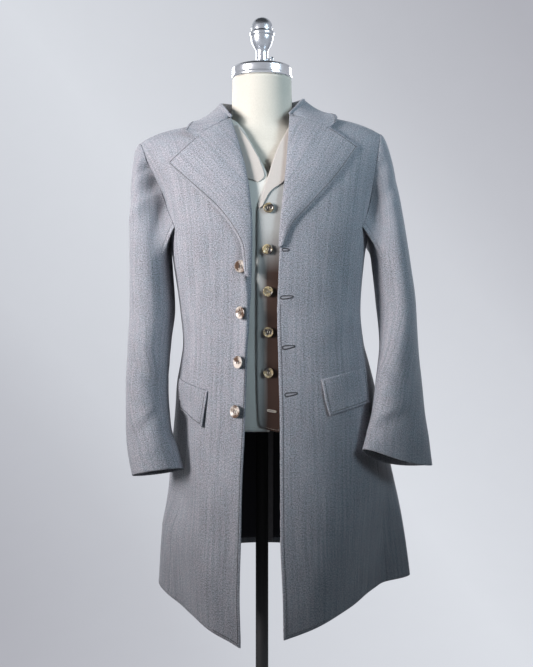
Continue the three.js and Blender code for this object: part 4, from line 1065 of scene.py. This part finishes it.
def sleeve_skin(side):
    rows, loop = SLEEVE[side], arm_loop(side)
    zlow, zhigh = rows.by[0], rows.by[-1]

    def oval(angle, z):
        a = angle * DEG
        r = {n: rows.read(n, z) for n in SLEEVE_NAMES[1:]}
        spin = r["spin"] * DEG
        sideways, forward = np.cos(a) * r["wide"], np.sin(a) * r["deep"]
        ox = sideways * np.cos(spin) - forward * np.sin(spin)
        oy = -forward * np.cos(spin) - sideways * np.sin(spin)
        lift = r["slant"] * np.sin(a) + r["tip"] * np.cos(a) + r["dip"] * np.cos(2 * a)
        return np.stack([side * (r["x"] + ox), r["y"] + oy, z + lift], -1)

    def crease(p, a):
        lift = np.zeros(a.shape)
        for a0, z0, tilt, wide, high, up in CREASES[side] + FINE[side]:
            along = (a - a0) / wide
            rise = (p[..., 2] - z0 - tilt * (a - a0)) / high
            near = (np.abs(along) < 2.5) * (np.abs(rise) < 2.5)
            lift = lift + up * np.exp(-along * along - rise * rise) * near
        p = p.copy()
        p[..., 0] += side * np.cos(a * DEG) * lift
        p[..., 1] -= np.sin(a * DEG) * lift
        return p

    def skin(angle, s):
        angle, s = both(angle, s)
        a = np.mod(angle, 360.0)
        low = oval(a, mix(zlow, zhigh, np.minimum(s, 1 - CAP) / (1 - CAP)))
        t = np.clip((1 - s) / CAP, 0, 1)[..., None]
        start = loop(a)
        start[..., 0] += side * 0.6
        zz = np.full(a.shape, zhigh)
        to = oval(a, zz)
        topness = 0.5 + 0.5 * np.cos(a * DEG)
        run = np.linalg.norm(start - to, axis=-1)
        lead = np.stack([side * mix(10, 62, topness), np.zeros(a.shape), mix(-34, -8, topness)], -1)
        drop = unit(oval(a, zz) - oval(a, zz - 20)) * (-run * 0.95)[..., None]
        t2, t3 = t * t, t * t * t
        share = 3 * t2 - 2 * t3
        high = start * (1 - share) + lead * (t3 - 2 * t2 + t) + to * share + drop * (t3 - t2)
        return crease(pick(s > 1 - CAP, high, low), a)

    return skin


SLEEVE_V = np.concatenate([steps(0, 1 - CAP, 110), steps(1 - CAP, 1, 60)[1:]])
FRONT_SEAM = 128
BACK_SEAM = 232
for side, tag in SIDES:
    sleeve = sleeve_skin(side)
    inner = moved(lambda u, v: sleeve(360 * u, v), side > 0, -(JACKET_WALL + 0.7))
    for part, us, start, end, rests in (
        ("upper", steps(0, 1, 110), BACK_SEAM - 360 + 0.3, FRONT_SEAM - 0.3, "cloth_front_"),
        ("under", steps(0, 1, 40), FRONT_SEAM + 0.3, BACK_SEAM - 0.3, "cloth_side_"),
    ):
        name = part + "_sleeve_" + tag
        sew("cloth_" + name, lambda u, v: sleeve(mix(start, end, u), v), us, SLEEVE_V, JACKET_WALL, M_WOOL,
            "jacket_" + name, "jacket_wool", rests=(rests + tag,), flip=side > 0)
    sew("lining_cuff_" + tag, lambda u, v: inner(u, mix(0.02, 0.4, v)), steps(0, 1, 96)[:-1],
        steps(0, 1, 30), LINING_WALL, M_LINING, "sleeve_lining_" + tag, "jacket_lining",
        rests=("cloth_upper_sleeve_" + tag,), flip=side > 0, closed=True)

# Waistcoat
VEST_ARM = Table(["rise", "x"], [[0, 146], [0.3, 138], [0.6, 140], [1, 150]])


def vest_skin(side, back, out=0.0):
    edge = VEST_EDGE[side]
    gback = float(VEST.read("back", ARMPIT_Z))

    def side_turn(z):
        wide = ease((z - 1185) / (ARMPIT_Z - 1185))
        return mix(90, 118, wide) if back else mix(90, SIDE_FRONT, wide)

    def low(u, z):
        seam = side_turn(z) + (0.08 if back else -0.08)
        if back:
            return ring_point(VEST, side * mix(seam, 180, u), z, out)
        start = side * turn_of(VEST, side * edge.read("x", z), z)
        return ring_point(VEST, side * mix(start, seam, u), z, out)

    def end(u):
        return side * low(u, np.full(np.shape(u), ARMPIT_Z))[..., 0]

    def skin(u, v):
        u, v = both(u, v)
        corner = 9 * (1 - np.clip(u / 0.12, 0, 1)) ** 2 if (not back and side > 0) else 0
        p = low(u, mix(VEST_HEM_Z + corner, ARMPIT_Z, np.minimum(v, LOW) / LOW))
        share = np.clip((v - LOW) / (1 - LOW), 0, 1)
        e0, e1 = end(np.zeros_like(u)), end(np.ones_like(u))
        if not back:
            ex = edge.read("x", mix(ARMPIT_Z, VEST_NECK_Z, np.sin(share * 90 * DEG)))
            part = (end(u) - e0) / (e1 - e0)
            q = high_point("vest", side * mix(ex, VEST_ARM.read("x", share), part), share, False)
            q[..., 1] -= out * (1 - share)
        else:
            part = end(u) / e0
            top = VEST_ARM.read("x", 1.0) * part
            neck = (57 - RIDGE_Y) * np.sqrt(np.clip(1 - (top / VEST_NECK_HALF) ** 2, 0, 1))
            last = np.arccos(np.clip((neck / (gback - RIDGE_Y)) ** 1.2, 0, 1)) / (90 * DEG)
            last = np.where(top < VEST_NECK_HALF, last, 1.0)
            rise = share * last
            q = high_point("vest", side * VEST_ARM.read("x", rise) * part, rise, True)
        return pick(v > LOW, q, p)

    return skin


vest_left, vest_right = vest_skin(-1, False), vest_skin(1, False, 2.8)
back_left, back_right = vest_skin(-1, True), vest_skin(1, True)
# The right front wears the darker copy of the cream cloth, painted with shade.
for side, tag, skin, material in ((-1, "left", vest_left, M_VEST), (1, "right", vest_right, M_VEST_SHADED)):
    sew("cloth_vest_front_" + tag, skin, steps(0, 1, 70), VROWS[::2], VEST_WALL, material,
        "vest_front_" + tag, "vest_cloth", flip=side < 0, level=True, grain=0.05)


def vest_back(u, v):
    return pick(u <= 0.5, back_right(2 * u, v), back_left(2 - 2 * u, v))


sew("cloth_vest_back", vest_back, steps(0, 1, 80), VROWS[::2], VEST_WALL, M_VEST_BACK, "vest_back",
    "vest_back_cloth", level=True)

VEST_LAPELS = {
    -1: Table(["v", "inX", "inZ", "outX", "outZ"], [
        [0, -1, 1345, 6, 1340], [0.25, -4, 1353, 28, 1348], [0.5, 3, 1376, 52, 1372],
        [0.75, 21, 1412, 70, 1408], [1, 44, 1448, 84, 1440],
    ]),
    1: Table(["v", "inX", "inZ", "outX", "outZ"], [
        [0, -5, 1293, 0, 1296], [0.2, 1, 1316, 14, 1322], [0.4, 11, 1350, 40, 1343],
        [0.7, 28, 1400, 66, 1392], [1, 48, 1440, 84, 1434],
    ]),
}


def vest_lapel_skin(side):
    rows = VEST_LAPELS[side]

    def skin(u, v):
        u, v = both(u, v)
        x = mix(rows.read("inX", v), rows.read("outX", v), u)
        z = mix(rows.read("inZ", v), rows.read("outZ", v), u)
        return out_from("vest", side, x, z, np.full(u.shape, 2.3 if side < 0 else 4.9))

    return skin


for side, tag in SIDES:
    sew("cloth_vest_lapel_" + tag, vest_lapel_skin(side), steps(0, 1, 24), steps(0, 1, 60), VEST_WALL,
        M_VEST_LAPEL, "vest_lapel_" + tag, "vest_cloth", "folded", ("cloth_vest_front_" + tag,),
        flip=side < 0)


# Stitching
def stitch_run(name, line, normal, material, slot, length=2.6, gap=0.6, width=0.85, lift=0.15):
    """Small raised stitches along a line of points (mm), lying on the cloth whose normals are given."""
    run = np.concatenate([[0], np.cumsum(np.linalg.norm(np.diff(line, axis=0), axis=1))])

    def read(rows, at):
        return np.array([np.interp(at, run, rows[:, c]) for c in range(3)])

    verts, faces = [], []
    narrow = 0.55 * width
    for start in np.arange(1.0, run[-1] - length, length + gap):
        along = unit(read(line, start + length) - read(line, start))
        faces += ring_faces(3, 4, len(verts))
        faces.append([len(verts) + k for k in (3, 2, 1, 0)])
        faces.append([len(verts) + k for k in (8, 9, 10, 11)])
        # Low and narrow at both ends, high and wide in the middle
        for share, half, top in ((0, narrow, 0.12), (0.5, width, width * 0.9), (1, narrow, 0.12)):
            at = start + share * length
            p, n = read(line, at), unit(read(normal, at))
            beside = unit(np.cross(n, along)) * half
            foot = p + n * lift
            verts += [foot + beside, foot + n * top + beside * 0.1, foot - beside, p - n * 0.2]
    trim(new_object(name, np.array(verts) * MM, faces, material), slot)


def inset_line(skin, edge, depth, count, start, end, flip=False):
    """A line on a skin with its normals, a depth in mm from one of its edges: u0, u1, v0 or v1."""
    t = np.linspace(start, end, count)
    away = float(edge[1])
    inwards = 1 - 2 * away
    e = 0.004

    def spot(s):
        s = np.full(count, s)
        return (s, t) if edge[0] == "u" else (t, s)

    rate = np.linalg.norm(skin(*spot(away + inwards * e)) - skin(*spot(away)), axis=1) / e
    u, v = spot(away + inwards * depth / rate)
    return skin(u, v), normals(skin, u, v, flip)


for side, tag in SIDES:
    lapel, flap, front = lapel_skin(side), flap_skin(side), front_skin(side)
    for name, skin, edge, depth, count, start, end in (
        ("lapel_free", lapel, "u1", 5.0, 140, 0.02, 0.985),
        ("lapel_top", lapel, "v1", 5.0, 80, 0.5, 0.97),
        ("flap_bottom", flap, "v0", 4.5, 60, 0.05, 0.95),
        ("flap_front", flap, "u0", 4.5, 40, 0.07, 0.98),
        ("flap_back", flap, "u1", 4.5, 40, 0.07, 0.98),
        ("front_edge", front, "u0", 5.0, 260, 0.004, 0.43 if side < 0 else 0.5),
        ("front_hem", front, "v0", 5.0, 120, 0.03, 0.3),
    ):
        line, normal = inset_line(skin, edge, depth, count, start, end, side < 0)
        stitch_run("stitch_%s_%s" % (name, tag), line, normal, M_STITCH, "jacket_wool")
line, normal = inset_line(collar_skin, "v1", 5.0, 260, 0.015, 0.985)
stitch_run("stitch_collar_free", line, normal, M_STITCH, "jacket_wool")
for name, line in (
    ("edge", inset_line(vest_right, "u0", 3.0, 200, 0.02, 0.66)),
    ("hem", inset_line(vest_right, "v0", 3.0, 200, 0.03, 0.97)),
    ("hem_left", inset_line(vest_left, "v0", 7.0, 160, 0.03, 0.97, True)),
):
    stitch_run("stitch_vest_" + name, *line, M_PALE_THREAD, "vest_cloth", 2.2, 0.8, 0.35, 0.05)


# Buttonholes
def place_on(skin, x, z):
    """The place on a skin that shows at x and z from the front, by Newton's steps."""
    u, v, e = 0.1, 0.3, 0.01
    for _ in range(40):
        p, pu, pv = (skin(np.array(a), np.array(b)) for a, b in ((u, v), (u + e, v), (u, v + e)))
        a, b = (pu[0] - p[0]) / e, (pv[0] - p[0]) / e
        c, d = (pu[2] - p[2]) / e, (pv[2] - p[2]) / e
        det = a * d - b * c
        u = float(np.clip(u + ((x - p[0]) * d - (z - p[2]) * b) / det, 0, 1))
        v = float(np.clip(v + ((z - p[2]) * a - (x - p[0]) * c) / det, 0, LOW))
    return u, v


def frame_at(skin, x, z, flip):
    """Point, normal, direction across and direction up on a skin."""
    u, v = place_on(skin, x, z)
    p = skin(np.array(u), np.array(v))
    n = normals(skin, np.array([u]), np.array([v]), flip)[0]
    across = unit(skin(np.array(u + 0.004), np.array(v)) - p)
    across = across * np.sign(across[0])
    up = unit(np.cross(n, across))
    return p, n, across, up * np.sign(up[2])


def on_spot(spot, x, y, high):
    p, n, across, up = spot
    return p + across * x + up * y + n * high


def keyhole(name, spot, length, eye, tilt, material, slot):
    """A worked buttonhole: a ring of close thread stitches round a slit with a round eye at one end."""
    p, n, across, up = spot
    c, s = math.cos(math.radians(tilt)), math.sin(math.radians(tilt))
    spot = (p, n, across * c + up * s, up * c - across * s)
    count, ring = 72, 6
    outline = []
    for t in circle(count):
        x = -math.cos(t) * length / 2
        high = mix(eye, 0.9, 0.5 + x / length)
        outline.append((x, math.copysign(abs(math.sin(t)) ** 0.55, math.sin(t)) * high))
    verts, faces = [], []
    for k, (x, y) in enumerate(outline):
        ahead, behind = outline[(k + 1) % count], outline[k - 1]
        out = unit(np.array([ahead[1] - behind[1], behind[0] - ahead[0]]))
        if out[0] * x + out[1] * y < 0:
            out = -out
        r = 0.95 + 0.12 * (k % 2)
        for q, b in enumerate(circle(ring)):
            reach = 0.5 + r * math.cos(b)
            high = 0.45 + r * 0.6 * math.sin(b)
            verts.append(on_spot(spot, x + out[0] * reach, y + out[1] * reach, high))
            here, there, beside = k * ring, (k + 1) % count * ring, (q + 1) % ring
            faces.append((here + q, there + q, there + beside, here + beside))
    # The paler cloth inside the worked ring
    inner = [on_spot(spot, x, y, 0.35) for x, y in outline + [(0, 0)]]
    inside = [(k, (k + 1) % count, count) for k in range(count)]
    trim(new_object(name + "_slit", np.array(inner) * MM, inside, M_SLIT), "jacket_wool")
    trim(new_object(name, np.array(verts) * MM, faces, material), slot)


front = front_skin(1)
for i, (x, z, length, eye, tilt) in enumerate((
    (41, 1221, 11, 2.2, -4), (43, 1139, 21, 3.0, 3), (46, 1053, 21, 3.0, 5), (50, 973, 21, 3.0, 4),
)):
    spot = frame_at(front, x, z, False)
    keyhole("buttonhole_jacket_%d" % (i + 1), spot, length, eye, tilt, M_DARK_THREAD, "jacket_wool")
keyhole("buttonhole_vest_6", frame_at(vest_right, 17, 941, False), 14, 1.0, 0, M_PALE_THREAD, "vest_cloth")


# Buttons
def button(name, node, spot, radius, thick, material, thread_material, slot, shank=2.6):
    """A round button with a raised rim, four holes and a thread over each pair of holes."""
    low = [(0.01, 0.35), (2.2, 0.35), (2.2, shank)]
    shares = [
        (0.80, 0), (0.95, 0.3), (1, 0.6), (0.96, 0.92), (0.88, 1), (0.76, 0.86), (0.66, 0.62),
        (0.4, 0.55), (0, 0.54),
    ]
    rows = low + [(max(radius * r, 0.01), shank + thick * h) for r, h in shares]
    verts = [on_spot(spot, r * math.cos(a), r * math.sin(a), h) for r, h in rows for a in circle(40)]
    trim(new_object(name, np.array(verts) * MM, ring_faces(len(rows), 40), material), slot, node)
    face = shank + thick * 0.56
    d = radius * 0.2
    wide = radius * 0.085
    # The four holes are flat dark discs on the face: painted shade for their depth.
    holes = [(x, y) for x in (-d, d) for y in (-d, d)]
    verts = [
        on_spot(spot, x + wide * math.cos(a), y + wide * math.sin(a), face + 0.08)
        for x, y in holes for a in circle(14)
    ]
    faces = [range(b, b + 14) for b in range(0, 56, 14)]
    trim(new_object(name + "_holes", np.array(verts) * MM, faces, M_HOLE_SHADOW), slot)
    verts, faces = [], []
    for x in (-d, d):
        faces += ring_faces(6, 6, len(verts))
        for share in steps(0, 1, 5):
            high = face + 0.1 + 0.55 * math.sin(math.pi * share)
            for a in circle(6):
                out, lift = radius * 0.055 * math.cos(a), radius * 0.045 * math.sin(a)
                verts.append(on_spot(spot, x + out, mix(-d, d, share), high + lift))
    trim(new_object(name + "_thread", np.array(verts) * MM, faces, thread_material), slot)


def leaning(spot, degrees, stand):
    """Turns a button's face outwards round the vertical, on its thread shank."""
    c, s = math.cos(math.radians(degrees)), math.sin(math.radians(degrees))
    n, across, up = (np.array([w[0] * c + w[1] * s, w[1] * c - w[0] * s, w[2]]) for w in spot[1:])
    return spot[0] + n * stand, n, across, up


front = front_skin(-1)
for i, (x, z, shank, lean, stand) in enumerate([
    (-36, 1192, 2.4, 0, 0.5), (-32, 1113, 5.5, 10, 0.4), (-36, 1028, 5.5, 12, 0.4),
    (-41, 945, 5.5, 14, 0.3),
]):
    spot = leaning(frame_at(front, x, z, True), lean, stand)
    node = "jacket_button_%d" % (i + 1)
    button("button_" + node, node, spot, 11, 3.2, M_JBUTTON, M_STITCH, "jacket_button", shank)
for i, (x, z) in enumerate([(11.5, 1294), (9.5, 1222), (10.4, 1149), (11, 1078), (11, 1007)]):
    if z > ARMPIT_Z:
        n = unit(np.array([0, -1, 0.02]))
        spot = (front_point("vest", x, z) + n * 2.4, n, np.array([1.0, 0, 0]), np.array([0, 0, 1.0]))
    else:
        spot = frame_at(vest_right, x, z, False)
    name, node = "button_vest_%d" % (i + 1), "vest_button_%d" % (i + 1)
    button(name, node, spot, 9, 3, M_VBUTTON, M_PALE_THREAD, "vest_button")

# Form, cap, finial, pole, base
FORM = Table(["z", "half", "front", "back", "square"], [
    [912, 127, -100, 94, 2.2], [957, 127, -99, 90, 2.2], [1014, 126, -97, 83, 2.2],
    [1055, 125, -96, 79, 2.2],
    [1110, 131, -98, 80, 2.2], [1205, 149, -109, 94, 2.3], [1262, 158, -116.5, 101, 2.3],
    [1310, 152, -107, 97, 2.4],
    [1355, 150, -96, 91, 2.4], [1390, 148, -87, 83, 2.4], [1415, 142, -77, 74, 2.3],
    [1433, 116, -64, 60, 2.2],
    [1445, 88, -57, 52, 2.1], [1456, 67, -53, 50, 2.0], [1474, 59, -50, 49, 2.0], [1505, 57, -49, 49, 2.0],
    [1548, 56, -49, 49, 2.0],
])


def form_mesh():
    zs = np.unique(np.concatenate([steps(912, 1300, 40), steps(1300, 1480, 60), steps(1480, 1548, 16)]))
    sides = 120
    a = circle(sides)
    s, c = np.sin(a), np.cos(a)
    verts, uvs = [], []
    for z in zs:
        half, front, back, square = (float(FORM.read(n, z)) for n in ("half", "front", "back", "square"))
        y = np.where(c > 0, front, -back) * wave(c, 2 / square)
        verts.append(np.stack([half * wave(s, 2 / square), y, np.full(sides, z)], -1))
        uvs.append(np.stack([a * 0.11, np.full(sides, z * MM)], -1))
    count = len(zs) * sides
    faces = ring_faces(len(zs), sides)
    for i in range(sides):
        k = (i + 1) % sides
        faces.append((count, k, i))
        faces.append((count + 1, count - sides + i, count - sides + k))
    points = np.concatenate(verts + [[[0, 0, zs[0]], [0, 0, zs[-1]]]])
    obj = new_object("form_cover", points * MM, faces, M_FORM)
    unwrap(obj, np.concatenate(uvs + [[[0, 0.9], [0, 1.5]]]))
    return obj


trim(form_mesh(), "form_cover", "form_torso")
cap_rows = smooth_profile([
    (0.01, 0.2), (55, 0.2), (57, 0.8), (58, 2.5), (58, 5), (57.2, 7), (57.2, 16), (57, 19), (55.5, 22),
    (52, 24.4),
    (42, 26.4), (25, 28), (12, 28.8), (0.01, 28.9),
])
trim(lathe("cap_neck", cap_rows, 128, M_CAP, CAP_BOTTOM_Z, 0.92), "cap_metal", "form_neck_cap")
finial_rows = smooth_profile([
    (0.01, 0), (13.3, 0), (13.5, 1), (13.4, 3), (11.8, 5), (11.5, 8), (11.5, 21), (12.4, 26),
    (15.5, 31), (18.8, 37),
    (21, 43), (21.8, 49), (22, 52), (23.6, 53.4), (24, 55), (24, 58.4), (23.4, 60), (21, 61.4),
    (21, 66), (20.2, 72),
    (18, 78.5), (13.5, 84.5), (7, 88.2), (0.01, 89),
])
trim(lathe("finial_turned", finial_rows, 96, M_FINIAL, FINIAL_Z), "finial_metal", "form_finial")
screw_rows = [(0.01, 0), (2.4, 0), (2.4, 4), (5.1, 4.4), (5.5, 5.2), (5.5, 8.6), (5, 9.6), (0.01, 10)]
screw = lathe("finial_screw", smooth_profile(screw_rows), 40, M_FINIAL)
# The screw lies on its side, with its head to the right.
for vertex in screw.data.vertices:
    x, y, z = vertex.co
    vertex.co = (z + 12 * MM, y, (FINIAL_Z + 9) * MM - x)
screw.data.update()
trim(screw, "finial_metal", "form_thumb_screw")
pole_rows = [
    (0.01, 12.4), (25.6, 12.4), (26, 13), (26, 18), (24, 20.5), (17, 24), (13.5, 30), (12, 40),
    (12, 911.6), (0.01, 911.6),
]
trim(lathe("stand_pole", pole_rows, 64, M_STAND), "stand_enamel", "form_pole")
base_rows = [(0.01, 0), (203.5, 0), (205, 1.5), (205, 8), (204, 10.4), (201.5, 11.8), (199, 12), (0.01, 12)]
trim(lathe("stand_base", base_rows, 160, M_STAND), "stand_enamel", "form_base")


# Studio
def studio_material(name, low, high):
    m = Paint(name)
    point, x, y, z = m.solid()
    # Painted light: the sheet glows in a broad diagonal band from the upper left to the lower right
    near = y.below(2.6)
    d = x * (near * 0.28 + 0.656) + (z - (near * 0.52 + 0.86)) * 0.512
    # Plain paper further forward
    fade = ((near - 1.9) * 0.8).clamped()
    f = d.math("ABSOLUTE") * 0.5 * fade.below(1.0) + fade * 0.35
    stops = ((0.0, 0.0), (0.42, 0.36), (0.6, 0.68), (0.9, 1.0))
    glow = m.ramp(f, *[(at, mix_colour(high, low, share)) for at, share in stops])
    dim = m.ramp(f, (0.0, [0.16 * k for k in high]), (0.9, [0.16 * k for k in low]))
    strength = m.noise(point, 8, 2) * 0.02 + 0.95
    return m.surface(
        dim, 1.0, None, Specular_IOR_Level=0.0, Emission_Color=glow, Emission_Strength=strength,
    )


# Floor, cove and wall in one sheet, and a round wall about the whole
sweep = [(-7.0, 0.0), (1.2, 0.0)]
sweep += [(1.2 + 1.4 * math.sin(a), 1.4 - 1.4 * math.cos(a)) for a in steps(0, math.pi / 2, 24)[1:]]
sweep.append((2.6, 6.0))
points = [(x, y, z) for y, z in sweep for x in (-7, 7)]
faces = [(2 * k, 2 * k + 1, 2 * k + 3, 2 * k + 2) for k in range(len(sweep) - 1)]
paper = studio_material("studio_paper_painted_glow", (0.45, 0.456, 0.50), (0.72, 0.745, 0.795))
studio = new_object("studio_sweep", points, faces, paper)
points = [(7.2 * math.sin(a), 7.2 * math.cos(a), z) for a in circle(64) for z in (-0.01, 9)]
faces = [(2 * k, 2 * k + 1, (2 * k + 3) % 128, (2 * k + 2) % 128) for k in range(64)]
paper = studio_material("studio_wall", (0.52, 0.53, 0.57), (0.52, 0.53, 0.57))
walls = new_object("studio_walls", points, faces, paper)
for o in (studio, walls):
    o.visible_diffuse = False

# Lights: name, place, aim, width and height, power, spread in degrees, colour
for name, place, aim, size, power, spread, colour in (
    ("key_left", (-1.9, -1.35, 1.72), (-0.14, 0, 1.40), (0.7, 0.9), 8.8, 50, (1.0, 0.95, 0.955)),
    ("fill_right", (1.7, -1.5, 2.3), (0.06, 0, 1.5), (0.8, 0.8), 2.9, 46, (0.70, 0.88, 1.0)),
    ("top_back", (0.2, 1.0, 2.9), (0, 0, 1.3), (1.6, 1.0), 1.4, 180, (0.95, 0.97, 1.0)),
    ("back_left", (-1.5, 2.0, 1.9), (0, 0.1, 1.05), (1.0, 1.2), 4.6, 65, (0.97, 0.98, 1.0)),
    ("back_right", (1.6, 2.0, 1.9), (0, 0.1, 1.05), (1.0, 1.2), 3.6, 65, (0.97, 0.98, 1.0)),
):
    light = bpy.data.lights.new(name, "AREA")
    light.shape = "RECTANGLE"
    light.size, light.size_y = size
    light.energy = power
    light.spread = math.radians(spread)
    light.color = colour
    lamp = bpy.data.objects.new(name, light)
    bpy.context.scene.collection.objects.link(lamp)
    lamp.location = place
    lamp.rotation_euler = (Vector(aim) - Vector(place)).to_track_quat("-Z", "Y").to_euler()
world = bpy.data.worlds.new("studio_world")
world.use_nodes = True
world.node_tree.nodes["Background"].inputs[0].default_value = (0.80, 0.85, 0.93, 1)
world.node_tree.nodes["Background"].inputs[1].default_value = 0.07
bpy.context.scene.world = world

# Camera
cam = bpy.data.cameras.new("camera")
cam.sensor_width = 36
cam.sensor_fit = "AUTO"
cam.lens = 735 / 667 * 36
cam.shift_x = 4.5 / 667
cam.shift_y = -63.5 / 667
cam.clip_start = 0.05
cam.dof.use_dof = False
cam_obj = bpy.data.objects.new("camera", cam)
bpy.context.scene.collection.objects.link(cam_obj)
cam_obj.location = (0, -1.4, 1.186)
cam_obj.rotation_euler = (math.pi / 2, 0, 0)
bpy.context.scene.camera = cam_obj
bpy.context.scene.view_settings.view_transform = "Standard"
